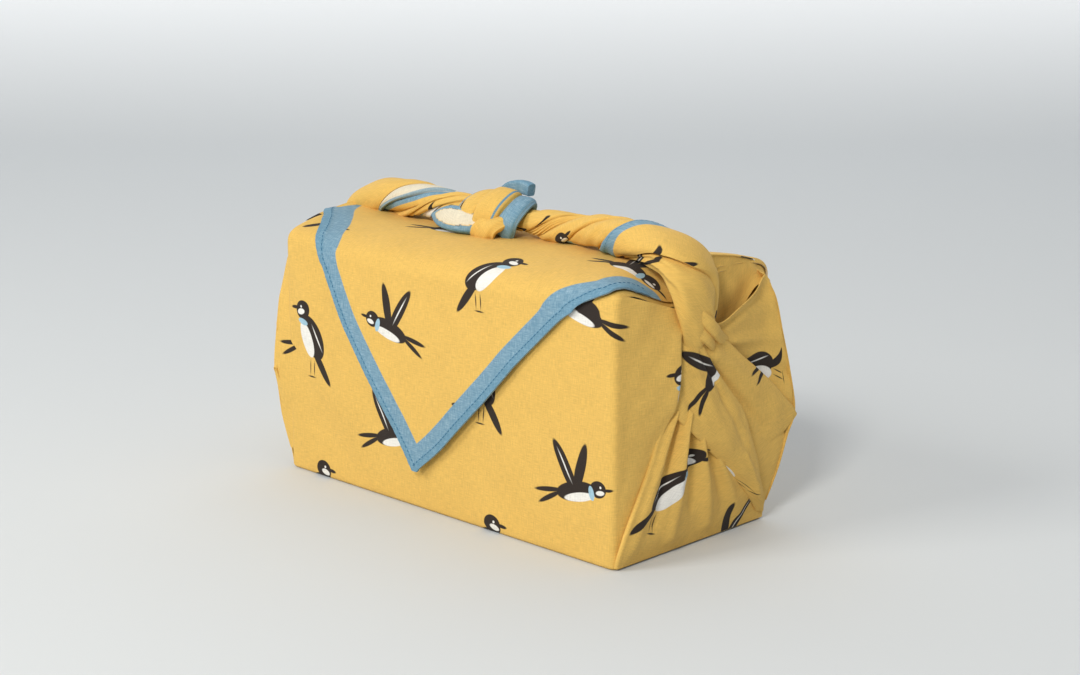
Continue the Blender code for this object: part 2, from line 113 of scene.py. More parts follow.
# Folds on an end wall, from the neck downwards. Columns: y, z and distance out of the end wall for the
# left edge, the same for the right edge, and how far the middle stands prouder than the edges.
# The left end has the same folds turned half round, and its ear stands out by EAR_LEFT of the right one.
EAR_LEFT = 0.45
FRONT_WRAP = in_metres(
    (-62, 160.5, 0.3, -15, 145, 5.5, 2),
    (-64, 152, 0.3, -21, 140, 8, 1),
    (-65, 136, 0.3, -27, 132, 11, 0),
    (-65, 118, 0.3, -29, 116, 12.8, -0.8),
    (-65, 104, 0.3, -29.5, 103, 12.4, -0.8),
    (-65, 90, 0.3, -30, 90, 10, -0.4),
    (-65, 78, 0.3, -33.5, 79, 6.2, 0),
    (-65, 56, 0.3, -42.5, 56, 3.4, 0.4),
    (-65, 28, 0.3, -57, 28, 2.4, 0.4),
    (-65, 2, 0.3, -64, 2, 1.2, 0),
)
LOWER_PANEL = in_metres(
    (-22, 126, 8, 8, 124, 7, 0),
    (-24, 102, 6, 24, 95, 6, 0.5),
    (-33, 82, 5.5, 48, 78, 7.5, 1),
    (-44, 57, 5.5, 74, 56, 10.5, 1.2),
    (-59, 30, 5.5, 72, 32, 7, 1.4),
    (-66, 12, 4, 67.5, 12, 2.5, 1.2),
    (-66.5, 1, 1, 66.5, 1, 1, 0),
)
DIAGONAL_BAND = in_metres(
    (-26, 134, 6, -13, 133, 12, 1.2),
    (-29, 116, 5, -1, 113, 13.8, 2.6),
    (-28.5, 98, 5.6, 13, 96, 14.8, 3.4),
    (-24, 84, 8.6, 27, 80, 15.2, 4),
    (-11, 71, 11, 36, 62, 14.8, 4.4),
    (6, 56, 10.4, 43, 48, 14, 4),
    (26, 39, 9.4, 49, 34, 12.2, 3),
    (45, 21, 7.2, 57, 19, 9.4, 1.4),
    (59, 7, 3.2, 64, 6, 3.6, 0),
)
REAR_EAR = in_metres(
    (-15, 125, 9.5, -5, 131, 11.8, 1),
    (0, 98, 7, 13, 123, 13, 1.2),
    (16, 79, 6.8, 27, 112, 14, 1.8),
    (30, 66, 6.8, 42, 101, 14.6, 2),
    (42, 56, 7.4, 56, 90, 15, 1.8),
    (54, 50, 8.6, 68, 79, 15.2, 1.4),
    (68, 54, 10.4, 77, 71, 15, 0.8),
    (78, 61, 12.4, 81, 66, 14.2, 0),
)
REAR_WRAP = in_metres(
    (-10, 129, 6, -6, 138, 11, 0),
    (10, 119, 6.2, 8, 136, 12.8, -0.5),
    (26, 106, 6.4, 24, 142.5, 13.2, -1),
    (42, 94, 6.8, 39, 150, 13, -0.8),
    (56, 84, 8, 50, 158, 11.2, 0),
    (67, 76, 9.8, 57, 145, 13, 0.4),
    (75, 70, 11.6, 64, 122, 14, 0.4),
    (80, 67, 13.3, 72, 98, 14.2, 0),
)
REAR_FLARE = in_metres(
    (50, 159, 9.5, 66, 159, -12, -1),
    (57.5, 145, 13.5, 69, 145, -20, -1),
    (64.5, 122, 14.5, 70, 122, -28, -0.8),
    (72.5, 97, 14.8, 70, 97, -33, -0.4),
    (80, 70, 14, 70, 70, -34, 0),
    (76, 54, 12, 70, 52, -28, 0),
    (72.5, 32, 8, 69.8, 32, -18, 0),
    (68, 12, 3, 68.5, 12, -10, 0),
)
DISH = in_metres(
    (-8, 130, 6, -6, 172, -1, 0),
    (7, 128, 3, 7, 174, -1, -1),
    (24, 131, 2, 24, 172, -1, -1),
    (39, 139, 2.5, 40, 169, -1, 0),
    (48, 151, 6, 54, 165, -2, 0),
    (56, 154, 10, 64, 161, -6, 0),
)
DISH_BACK = in_metres(
    (-6, 172.5, -0.2, -6, 166.5, -20, 0),
    (7, 174.5, -0.2, 7, 166, -24, 1),
    (24, 172.5, -0.2, 26, 165.5, -26, 1),
    (40, 169.5, -0.2, 44, 163.5, -24, 0.5),
    (54, 165.5, -1.2, 57, 160.5, -18, 0),
    (64, 161, -5.2, 65.5, 156, -12, 0),
)

# The tails, from inside the neck up over the end and along the top. Columns: x, y, z, half width across
# the tail, half height.
RIGHT_TAIL_ROWS = in_metres(
    (146, -10, 116, 6, 5),
    (154, -11, 128, 12, 8),
    (157.5, -12, 143, 16.5, 9),
    (156, -14, 160, 20, 10.5),
    (146, -14, 173.5, 20, 12),
    (125, -12, 179, 17, 12.5),
    (101, -8, 180.5, 14.5, 12.5),
    (78, -3, 179.5, 12, 11),
    (56, 1, 178, 10.5, 10),
    (34, 1, 177.5, 10.5, 10),
    (14, 0, 178.5, 8.5, 8.5),
    (-6, 0, 179, 7, 7),
)
LEFT_TAIL_ROWS = in_metres(
    (-146, 10, 116, 6, 5),
    (-154, 11, 128, 12, 8),
    (-157.5, 13, 142, 17, 9),
    (-156, 12, 158, 20, 10.5),
    (-149, 8, 170.5, 20, 12),
    (-130, 4, 177, 17, 13),
    (-105, 0, 180, 15, 13),
    (-80, -1, 180.5, 13, 12),
    (-57, -1, 180, 11.5, 11),
    (-34, -1, 179.5, 9.5, 9.5),
    (-14, 0, 179, 8, 8),
    (6, 0, 179, 7, 7),
)

# Where the folds of a tail meet. Columns: place along the rows of its tail, then the angle round it of
# each line, from 0 degrees at the front over 90 at the top.
RIGHT_TAIL_LINES = (
    (0, 165, 268, 280, 292),
    (2, 160, 266, 279, 291),
    (3, 140, 262, 275, 290),
    (3.5, 75, 240, 262, 282),
    (4, 32, 215, 250, 280),
    (4.5, 10, 195, 244, 278),
    (5, -18, 160, 235, 275),
    (5.5, -38, 112, 218, 262),
    (6, -62, 30, 175, 240),
    (6.5, -100, -20, 112, 200),
    (7, -145, -62, 70, 160),
    (7.5, -190, -100, 30, 118),
    (8, -235, -140, -10, 75),
    (9, -320, -225, -100, -10),
    (10, -400, -310, -190, -95),
    (11, -480, -390, -275, -180),
)
LEFT_TAIL_LINES = (
    (0, -170, -150, -130, -110, -90),
    (4, -160, -140, -120, -100, -80),
    (5, -140, -115, -95, -75, -58),
    (5.5, -125, -100, -75, -38, -22),
    (6, -110, -85, -66, -10, 28),
    (6.5, -80, -55, -40, 14, 80),
    (7, -48, -22, -8, 42, 128),
    (7.5, -15, 12, 30, 78, 170),
    (8, 15, 45, 68, 115, 210),
    (8.5, 45, 78, 105, 150, 245),
    (9, 75, 110, 140, 185, 280),
    (10, 135, 175, 205, 250, 345),
    (11, 195, 240, 270, 315, 410),
)

# Each fold, from its own line to the next. Columns: lift at its first line, at the next line, and in its
# middle, as shares of the tail's radius; number and height of its small wrinkles; the edge that is a hem
# (-1 first, 1 next, 0 none); how much of the hem is tucked away; 1 where the reverse side shows.
RIGHT_TAIL_FOLDS = (
    (-0.02, 0, 0.03, 2, 0.016, 1, 0, 0),
    (-0.24, -0.18, 0.1, 2, 0.024, 0, 0, 0),
    (-0.04, -0.12, 0.1, 2, 0.022, 0, 0, 0),
    (-0.2, -0.24, 0.1, 4, 0.046, 0, 0, 0),
)
LEFT_TAIL_FOLDS = (
    (-0.16, -0.14, 0.06, 1, 0.012, 0, 0, 0),
    (-0.08, -0.06, 0.04, 1, 0.01, 0, 0, 0),
    (-0.3, -0.26, 0.02, 1, 0.008, 1, 0.0095, 0),
    (-0.1, -0.16, 0.06, 2, 0.014, -1, 0.003, 1),
    (-0.04, -0.22, 0.08, 4, 0.014, 0, 0, 0),
)

RIGHT_TAIL = (RIGHT_TAIL_ROWS, RIGHT_TAIL_LINES, RIGHT_TAIL_FOLDS)
LEFT_TAIL = (LEFT_TAIL_ROWS, LEFT_TAIL_LINES, LEFT_TAIL_FOLDS)
STITCH_OFF = 0.0001

# Places of the print, in metres along and round the tails, the pleats and the knot's wraps.
TAIL_PRINT = (0.345, 0.13)
COLLAR_PRINT = (0.36, 0.02)
KNOT_PRINT = (0.45, 0.18)
KNOT_PRINT_STEP = 0.03  # from one wrap of the knot to the next

# Pleats round the neck of each tail. Columns: distance out from the middle, y, z, half width, half
# thickness, lean in degrees.
COLLAR = (
    in_metres(
        (152, -24, 160, 2.2, 1.2, 0),
        (158, -20, 151, 3.4, 2, 0),
        (164, -13.5, 142.5, 3.8, 2.4, 0),
        (165, -5.5, 135, 3.8, 2.4, 0),
        (160.5, 5, 128.5, 3.8, 2, 0),
        (157, 16, 123.5, 3, 1, 0),
        lengths=5,
    ),
    in_metres(
        (150, -24, 148, 2.2, 1.2, 0),
        (155.5, -20, 140.5, 3.2, 1.8, 0),
        (161.8, -14, 134, 3.6, 2.2, 0),
        (162.2, -6.5, 128, 3.4, 2.2, 0),
        (158, 2, 123, 3.2, 1.8, 0),
        (154, 10, 119, 2.6, 1.2, 0),
        lengths=5,
    ),
)

# The wraps of the knot and its two free ends. Columns: x, y, z, half width, half thickness, lean in
# degrees.
KNOT_WRAPS = (
    in_metres(
        (-28, -12, 169, 6.5, 3, -10),
        (-30, -17, 178, 7.8, 3.6, -10),
        (-27, -13, 186.5, 8.2, 4, -8),
        (-21.5, -2, 191.2, 8, 4, 0),
        (-14, 9, 187, 8, 3.6, 0),
        (-10, 14, 177, 6, 3, 0),
        lengths=5,
    ),
    in_metres(
        (-16, -12, 168, 6, 3, 10),
        (-13, -18, 177, 7.5, 3.6, 10),
        (-7.5, -15.5, 187.5, 8.8, 4.2, 8),
        (-7, -3, 193.5, 8.8, 4, 0),
        (-13, 8, 188, 8, 3.6, 0),
        (-18, 13, 177, 6, 3, 0),
        lengths=5,
    ),
    in_metres(
        (2, -13, 170, 6, 3, 0),
        (7, -15, 179, 7.5, 3.4, 0),
        (9, -8, 187, 7.5, 3.6, 0),
        (6, 2, 189.5, 7, 3.4, 0),
        (-2, 11, 182, 5.5, 3, 0),
        lengths=5,
    ),
    in_metres(
        (-20, -10, 166, 7, 4, 0),
        (-12, -19, 170, 8, 5, 0),
        (-3, -20, 176, 7.5, 4.5, 0),
        (4, -12, 180, 6, 4, 0),
        lengths=5,
    ),
)

# What shows on each wrap. Columns: angle round its section of one hem in degrees, of another, how much of
# the hem is tucked away, how fast the distance from it grows, how far from it the blue goes.
KNOT_HEMS = (
    (215, 215, 0.0036, 1, 0.0053),
    (218, 325, 0.0036, 1, 0.0053),
    (215, 325, 0.0045, 0.6, 0.014),
    (90, 90, 0.006, 1, 0.0053),
)
LYING_HEMS = (0, 180, 0.0012, 0.9, 0.0090)
STANDING_HEMS = (0, 180, 0.0030, 0.7, 0.0140)
LYING_END = in_metres(
    (-6, -13, 174.5, 4, 4, -50),
    (-17, -18.5, 175.5, 6.8, 4.5, -52),
    (-30, -20.5, 176.5, 8.5, 4, -55),
    (-43, -19.5, 176.8, 8.2, 3.2, -57),
    (-55, -16, 176, 5.8, 2.4, -57),
    (-64, -13, 175, 1.8, 1.4, -55),
    lengths=5,
)
STANDING_END = in_metres(
    (-19, 7, 193, 3.6, 2.4, 0),
    (-15, 9, 195.8, 4, 3, 0),
    (-8, 9.8, 197, 4.2, 3.2, 3),
    (-1, 9.8, 196.8, 4.2, 3.2, 3),
    (3, 9.4, 196, 4, 3, 0),
    lengths=5,
)

# Soft folds of the front wall. Columns: x and z of one end, x and z of the other, half width, height.
FRONT_CREASES = in_metres(
    (140, 140, 60, 20, 14, 0.5),
    (140, 100, 30, 70, 10, -0.4),
    (-142, 136, -100, 50, 13, 0.6),
    (-142, 90, -110, 10, 11, -0.5),
    (-30, 10, 20, 12, 6, 0.3),
    (60, 6, 130, 10, 5, 0.3),
)

# Folds of the lower panel, drawn together towards the neck. Columns: y and z of one end, y and z of the
# other, half width, height.
PANEL_CREASES = in_metres(
    (-24, 88, -62, 4, 5, 3.4),
    (-20, 88, -40, 22, 3.8, -6.2),
    (-17, 86, -26, 10, 5.4, 6.6),
    (-11, 80, -8, 28, 4.2, -6.8),
    (-6, 72, 8, 12, 5, 5.4),
    (4, 62, 22, 20, 4.2, -4.4),
    (10, 54, 40, 10, 4.8, 3.6),
)

# Folds of the ear and of the diagonal band, in the same columns.
EAR_CREASES = in_metres(
    (4, 118, 64, 78, 7, 2.6),
    (2, 110, 50, 64, 4, -3),
    (10, 100, 50, 56, 3.4, 1.6),
)
BAND_CREASES = in_metres(
    (-20, 122, 14, 60, 5, 2.4),
    (-10, 120, 34, 50, 3, -2.4),
    (-24, 104, -4, 66, 3, -1.4),
    (30, 52, 58, 12, 3, 1.6),
)
REAR_CREASES = in_metres(
    (-2, 128, 50, 146, 4.6, -3),
    (0, 124, 66, 118, 4.6, 3.2),
    (4, 118, 72, 94, 4, -2.8),
    (10, 110, 74, 78, 3.6, 2.2),
)


def length(name, description, default, **limits):
    return bpy.props.FloatProperty(
        name=name, description=description, default=default, unit="LENGTH", **limits
    )


class ClothSizes(bpy.types.PropertyGroup):
    thickness: length("Thickness", "Thickness of the cotton", 0.0006, min=0.0001)
    hem_width: length("Hem width", "Width of the double-turned hem", 0.0053)
    hem_rise: length("Hem rise", "How far the hem stands proud of the cloth", 0.0006)
    border_width: length("Border width", "Width of the blue border, hem included", 0.014)
    fold_radius: length("Fold radius", "Radius of the folded edges on the ends", 0.0016)
    stitch_inset: length("Stitch inset", "Distance of the seam from the edge of the cloth", 0.0042)
    stitch_pitch: length("Stitch pitch", "Distance between two stitches of the hem", 0.0032)
    stitch_length: length("Stitch length", "Length of one stitch of the hem", 0.0024)
    thread: length("Thread", "Thickness of the sewing thread", 0.0005)
    print_across: length("Print across", "Distance between two columns of the print", 0.080)
    print_drop: length("Print drop", "Distance between two figures in one column of the print", 0.106)


def colour(name, description, default):
    return bpy.props.FloatVectorProperty(
        name=name, description=description, default=default, size=4, subtype="COLOR", min=0, max=1
    )


class ClothColours(bpy.types.PropertyGroup):
    ground: colour("Ground", "Mustard ground of the print", (0.715, 0.455, 0.112, 1))
    border: colour("Border", "Printed border", (0.150, 0.290, 0.400, 1))
    hem: colour("Hem", "Hem of the cloth", (0.125, 0.270, 0.385, 1))
    thread: colour("Thread", "Sewing thread", (0.040, 0.150, 0.260, 1))
    dark_ink: colour("Dark ink", "Backs and wings of the printed birds", (0.028, 0.020, 0.016, 1))
    white_ink: colour("White ink", "Breasts of the printed birds", (0.780, 0.770, 0.730, 1))
    blue_ink: colour("Blue ink", "Throats of the printed birds", (0.330, 0.520, 0.640, 1))
    reverse: colour("Reverse", "Unprinted side of the cotton", (0.700, 0.640, 0.500, 1))
    stage: colour("Stage", "Floor and backdrop", (0.650, 0.680, 0.700, 1))


def sizes():
    return bpy.context.scene.cloth_sizes


def colours():
    return bpy.context.scene.cloth_colours


def placed(name, data):
    """A new object of the scene."""
    obj = bpy.data.objects.new(name, data)
    bpy.context.scene.collection.objects.link(obj)
    return obj


# Curves and grids


def smooth_rows(rows, count):
    """Rows of a table as a smooth run of `count` rows, through every one of them."""
    rows = np.asarray(rows, float)
    place = np.linspace(0, len(rows) - 1, count)
    first = np.minimum(place.astype(int), len(rows) - 2)
    part = (place - first)[:, None]
    before = rows[np.maximum(first - 1, 0)]
    start = rows[first]
    end = rows[first + 1]
    after = rows[np.minimum(first + 2, len(rows) - 1)]
    return 0.5 * (
        2 * start
        + (end - before) * part
        + (2 * before - 5 * start + 4 * end - after) * part**2
        + (3 * start - before - 3 * end + after) * part**3
    )


def unit(vectors):
    size = np.linalg.norm(vectors, axis=-1, keepdims=True)
    return vectors / np.maximum(size, 1e-12)


def grid_normals(points):
    """Outward normals of a grid whose rows and columns turn right-handed about them."""
    return unit(np.cross(np.gradient(points, axis=0), np.gradient(points, axis=1)))


def run_lengths(points, axis):
    """Distance from the first point, along one axis of a grid."""
    step = np.linalg.norm(np.diff(points, axis=axis), axis=-1)
    start = np.zeros_like(np.take(step, [0], axis=axis))
    return np.concatenate([start, np.cumsum(step, axis=axis)], axis=axis)


def rise(value, start, end):
    """0 before start, 1 after end, and a smooth step between."""
    share = np.clip((value - start) / (end - start), 0, 1)
    return share * share * (3 - 2 * share)


def away_from_line(a, b, line):
    """Distance from every point (a, b) to a line through the given points."""
    nearest = np.full(np.shape(a), FAR_FROM_HEM)
    for (a0, b0), (a1, b1) in zip(line, line[1:]):
        step_a, step_b = a1 - a0, b1 - b0
        share = ((a - a0) * step_a + (b - b0) * step_b) / max(step_a**2 + step_b**2, 1e-12)
        share = np.clip(share, 0, 1)
        nearest = np.minimum(nearest, np.hypot(a - a0 - share * step_a, b - b0 - share * step_b))
    return nearest


def creases(a, b, rows):
    """Height of a table of folds at every point (a, b). A fold is strongest at its first end."""
    height = np.zeros(np.shape(a))
    for a0, b0, a1, b1, half_width, top in rows:
        step_a, step_b = a1 - a0, b1 - b0
        share = ((a - a0) * step_a + (b - b0) * step_b) / (step_a**2 + step_b**2)
        share = np.clip(share, 0, 1)
        aside = np.hypot(a - a0 - share * step_a, b - b0 - share * step_b)
        widening = half_width * (0.55 + 0.45 * share)
        height += top * np.exp(-((aside / widening) ** 2)) * (1 - 0.65 * share)
    return height


def ripple(a, b, pitch, seed, waves=7):
    """Uneven soft waves over (a, b), about -1 to 1 high, with this distance from crest to crest."""
    chance = np.random.default_rng(seed)
    height = np.zeros(np.broadcast_shapes(np.shape(a), np.shape(b)))
    for _ in range(waves):
        heading = chance.uniform(0, math.tau)
        length = pitch * chance.uniform(0.7, 1.6)
        phase = chance.uniform(0, math.tau)
        along = a * math.cos(heading) + b * math.sin(heading)
        height += np.sin(math.tau * along / length + phase)
    return height / math.sqrt(waves)


class Sheet:
    """A grid of points on the outer side of the cloth, with what the print and the hem need."""

    def __init__(self, points, cloth=None, hem=None):
        self.points = points
        if cloth is None:
            cloth = np.stack([run_lengths(points, 1), -run_lengths(points, 0)], axis=-1)
        self.cloth = cloth
        self.hem = np.full(points.shape[:2], FAR_FROM_HEM) if hem is None else hem

    def pushed(self, height):
        """The same sheet, moved out along its normals."""
        self.points = self.points + grid_normals(self.points) * np.asarray(height)[..., None]
        return self

    def laid_at(self, across, along, turn):
        """The print moved and turned on the sheet."""
        cosine, sine = math.cos(math.radians(turn)), math.sin(math.radians(turn))
        u, v = self.cloth[..., 0], self.cloth[..., 1]
        self.cloth = np.stack([across + cosine * u - sine * v, along + sine * u + cosine * v], axis=-1)
        return self

    def turned_half_round(self):
        self.points = self.points * np.array((-1.0, -1.0, 1.0))
        return self

    def flipped(self):
        for name in ("points", "cloth", "hem"):
            setattr(self, name, getattr(self, name)[:, ::-1])
        return self

    def rolled(self, side):
        """The sheet with its first (side 0) or last (side 1) column rolled under, as at a folded edge."""
        radius = sizes().fold_radius
        if side == 0:
            self.flipped()
        edge = self.points[:, -1]
        ahead = unit(edge - self.points[:, -2])
        out = grid_normals(self.points)[:, -1] * (2 * side - 1)
        columns = [edge]
        for angle in np.linspace(0, math.pi, ROLL_STEPS)[1:]:
            columns.append(edge + radius * (math.sin(angle) * ahead - (1 - math.cos(angle)) * out))
        columns.append(columns[-1] - ROLL_UNDER * ahead)
        grown = np.stack(columns, axis=1)
        way = run_lengths(grown, 1)[:, 1:, None]
        print_step = unit(self.cloth[:, -1:] - self.cloth[:, -2:-1])
        added = {
            "points": grown[:, 1:],
            "cloth": self.cloth[:, -1:] + way * print_step,
            "hem": np.repeat(self.hem[:, -1:], len(columns) - 1, axis=1),
        }
        for name, values in added.items():
            setattr(self, name, np.concatenate([getattr(self, name), values], axis=1))
        return self.flipped() if side == 0 else self


def closed_mesh(name, points, faces, cloth, hem, reverse):
    """A shown piece, with its print, its distance from the hem and its reverse side stored on it."""
    points = points - np.array((0.0, FORM_FORWARD, 0.0))
    mesh = bpy.data.meshes.new(name)
    mesh.from_pydata(points.tolist(), [], faces)
    corner = np.empty(len(mesh.loops), np.int32)
    mesh.loops.foreach_get("vertex_index", corner)
    layer = mesh.uv_layers.new(name="cloth")
    layer.data.foreach_set("uv", cloth[corner].astype(np.float32).ravel())
    for key, values in (("hem", hem), ("reverse", reverse)):
        stored = mesh.attributes.new(key, "FLOAT", "POINT")
        stored.data.foreach_set("value", values.astype(np.float32))
    mesh.shade_smooth()
    mesh.set_sharp_from_angle(angle=math.radians(50))
    mesh.materials.append(cotton())
    return placed(name, mesh)


HEM_FADE = 0.0010  # width of the step down from the hem to the cloth
HEM_UNDER = 0.3  # share of the hem's rise on the inner side


def sheet_parts(sheet, pale_inside=True):
    """Points, faces and stored values of a closed thin sheet."""
    out = grid_normals(sheet.points)
    size = sizes()
    start = size.hem_width - 0.4 * HEM_FADE
    raised = size.hem_rise * (1 - rise(sheet.hem, start, start + HEM_FADE))
    outer = sheet.points + out * raised[..., None]
    inner = sheet.points - out * (size.thickness + HEM_UNDER * raised)[..., None]
    rows, columns = sheet.points.shape[:2]
    points = np.concatenate([outer.reshape(-1, 3), inner.reshape(-1, 3)])
    index = np.arange(rows * columns).reshape(rows, columns)
    quads = np.stack([index[:-1, :-1], index[1:, :-1], index[1:, 1:], index[:-1, 1:]], axis=-1)
    quads = quads.reshape(-1, 4)
    under = rows * columns
    rim = np.concatenate([index[0, :], index[1:, -1], index[-1, -2::-1], index[-2:0:-1, 0]])
    after = np.roll(rim, -1)
    sides = np.stack([rim, after, under + after, under + rim], axis=-1)
    faces = np.concatenate([quads, under + quads[:, ::-1], sides])
    cloth = np.tile(sheet.cloth.reshape(-1, 2), (2, 1))
    return points, faces, cloth, np.tile(sheet.hem.ravel(), 2), np.repeat((0.0, float(pale_inside)), under)


def piece_of(name, parts):
    """One shown piece from the points, faces and stored values of several."""
    before = 0
    faces = []
    for points, part_faces, *_ in parts:
        faces += [list(dict.fromkeys(face)) for face in (part_faces + before).tolist()]
        before += len(points)
    stacked = [np.concatenate([part[i] for part in parts]) for i in (0, 2, 3, 4)]
    return closed_mesh(name, stacked[0], faces, *stacked[1:])


def facing_out(sheet, outwards):
    """The sheet with its columns in the order that turns its normals outwards."""
    inwards = (grid_normals(sheet.points) * np.asarray(outwards)).sum() < 0
    return sheet.flipped() if inwards else sheet


# The wrapped body


def end_inset(x):
    """How far the walls have turned in at x, where the upright edges are rounded."""
    past = np.clip(np.abs(x) - (LENGTH / 2 - CORNER_RADIUS), 0, CORNER_RADIUS)
    return CORNER_RADIUS - np.sqrt(CORNER_RADIUS**2 - past**2)


def squareness(x):
    """The top is squarer near the ends, where the cloth turns tight round the corners."""
    return TOP_SQUARENESS + 2.2 * rise(np.abs(x), 0.085, 0.142)


def top_section(x, turn):
    """y and z of the top at x, for a turn of 0 at the back shoulder to 180 degrees at the front one."""
    inset = end_inset(x)
    cosine, sine = math.cos(turn), max(math.sin(turn), 0.0)
    power = 2 / squareness(x)
    y = (DEPTH / 2 - inset) * math.copysign(1, cosine) * abs(cosine) ** power
    z = SHOULDER + (TOP_RISE - inset) * sine**power
    share = y / (DEPTH / 2)
    sunk = NECK_SINK * rise(x, 0.116, STRIP_HALF + 0.004) ** 1.4 * rise(share, -1.02, -0.25)
    sunk = sunk * (1 - rise(share, 0.02, 0.30))
    lifted = NECK_LIFT * rise(-x, 0.100, STRIP_HALF) * rise(share, -0.98, -0.5) * (1 - rise(share, 0, 0.7))
    return y, z - (sunk - lifted) * sine**0.5


def wall_section(x, side, height):
    """y and z of the front wall (side -1) or the back wall (side 1) at a height."""
    bulge = FRONT_BULGE * math.sin(math.pi * height / SHOULDER) * (1 - (2 * x / LENGTH) ** 2)
    return side * (DEPTH / 2 - end_inset(x) + np.maximum(bulge, 0)), np.full(np.shape(x), height)


def base_section(x, side, angle):
    """y and z of the rounded lower edge of a wall: 0 on the floor, 90 degrees on the wall."""
    y = DEPTH / 2 - end_inset(x) - BASE_ROUND * (1 - math.sin(angle))
    return side * y, np.full(np.shape(x), BASE_ROUND * (1 - math.cos(angle)))


def floor_section(x, share):
    y = share * (DEPTH / 2 - end_inset(x) - BASE_ROUND)
    return y, np.zeros(np.shape(x))


def top_ways():
    """Turns over the top, and the way from the back shoulder that each one has come."""
    fine = np.linspace(0, math.pi, 600)
    places = np.array([top_section(0.0, turn) for turn in fine])
    way = np.concatenate([[0], np.cumsum(np.linalg.norm(np.diff(places, axis=0), axis=1))])
    return fine, way


FRONT_TURN = 0.020  # way over the top before the front shoulder, where the rows lie closer together
BACK_START = 0.020  # how far below the back shoulder the layer under the top begins
TOP_ROWS = 54
FRONT_TURN_ROWS = 28
WALL_ROWS = 58


def body_stations():
    """The cloth's way round the form, as (section at x, steps off the form, way down the flap)."""
    fine, way = top_ways()
    turn_start = way[-1] - FRONT_TURN
    fronts = np.linspace(turn_start, way[-1], FRONT_TURN_ROWS)
    ways = np.concatenate([np.linspace(0, turn_start, TOP_ROWS)[:-1], fronts])
    turns = np.interp(ways, way, fine)
    walls = np.linspace(BASE_ROUND, SHOULDER, WALL_ROWS)
    drops = np.linspace(0, FLAP_ROWS[-1][0], WALL_ROWS)[1:]
    angles = np.radians((0, 30, 60))
    stations = []
    for height in np.linspace(SHOULDER - BACK_START, SHOULDER, 5)[:-1]:
        stations.append((lambda x, z=height: wall_section(x, 1, z), -1, None))
    for turn in turns[:-1]:
        stations.append((lambda x, t=turn: top_section(x, t), -(1 + math.cos(turn)) / 2, None))
    for height in walls[::-1]:
        stations.append((lambda x, z=height: wall_section(x, -1, z), 0, None))
    for angle in angles[::-1]:
        stations.append((lambda x, a=angle: base_section(x, -1, a), 0, None))
    for share in np.linspace(-0.9, 0.9, 10):
        stations.append((lambda x, s=share: floor_section(x, s), 0, None))
    for angle in angles:
        stations.append((lambda x, a=angle: base_section(x, 1, a), 0, None))
    for height in walls[:-1]:
        stations.append((lambda x, z=height: wall_section(x, 1, z), 0, None))
    for turn, come in zip(turns, ways):
        stations.append((lambda x, t=turn: top_section(x, t), (1 - math.cos(turn)) / 2, come - way[-1]))
    for down in drops:
        stations.append((lambda x, z=SHOULDER - down: wall_section(x, -1, z), 1, down))
    return stations


# Distances of the first columns from an edge, and the number of columns between them.
EDGE_COLUMNS = (0, 0.0007, 0.0015, 0.0025, 0.0036, 0.0050, 0.0064, 0.0072, 0.0080, 0.0092, 0.0110)
MIDDLE_COLUMNS = 92


def across_places(left, right):
    """x of each column between two edges, closer together near the edges."""
    near = np.array(EDGE_COLUMNS) * min(1.0, (right - left) / (2.6 * EDGE_COLUMNS[-1]))
    inside = np.linspace(left + near[-1], right - near[-1], MIDDLE_COLUMNS)[1:-1]
    return np.concatenate([left + near, inside, right - near[::-1]])


# Soft waves of the body. Columns: height, distance from crest to crest, seed.
BODY_WAVES = (
    (0.00035, 0.055, 3),
    (0.00012, 0.017, 8),
)
PUCKER_HEIGHT = 0.00012  # of the small waves along the sewn hem
PUCKER_PITCH = 0.0075
FLAP_STEPS = 140
TOP_BORDER_GAIN = 0.28  # how much wider the border is on the top than on the front


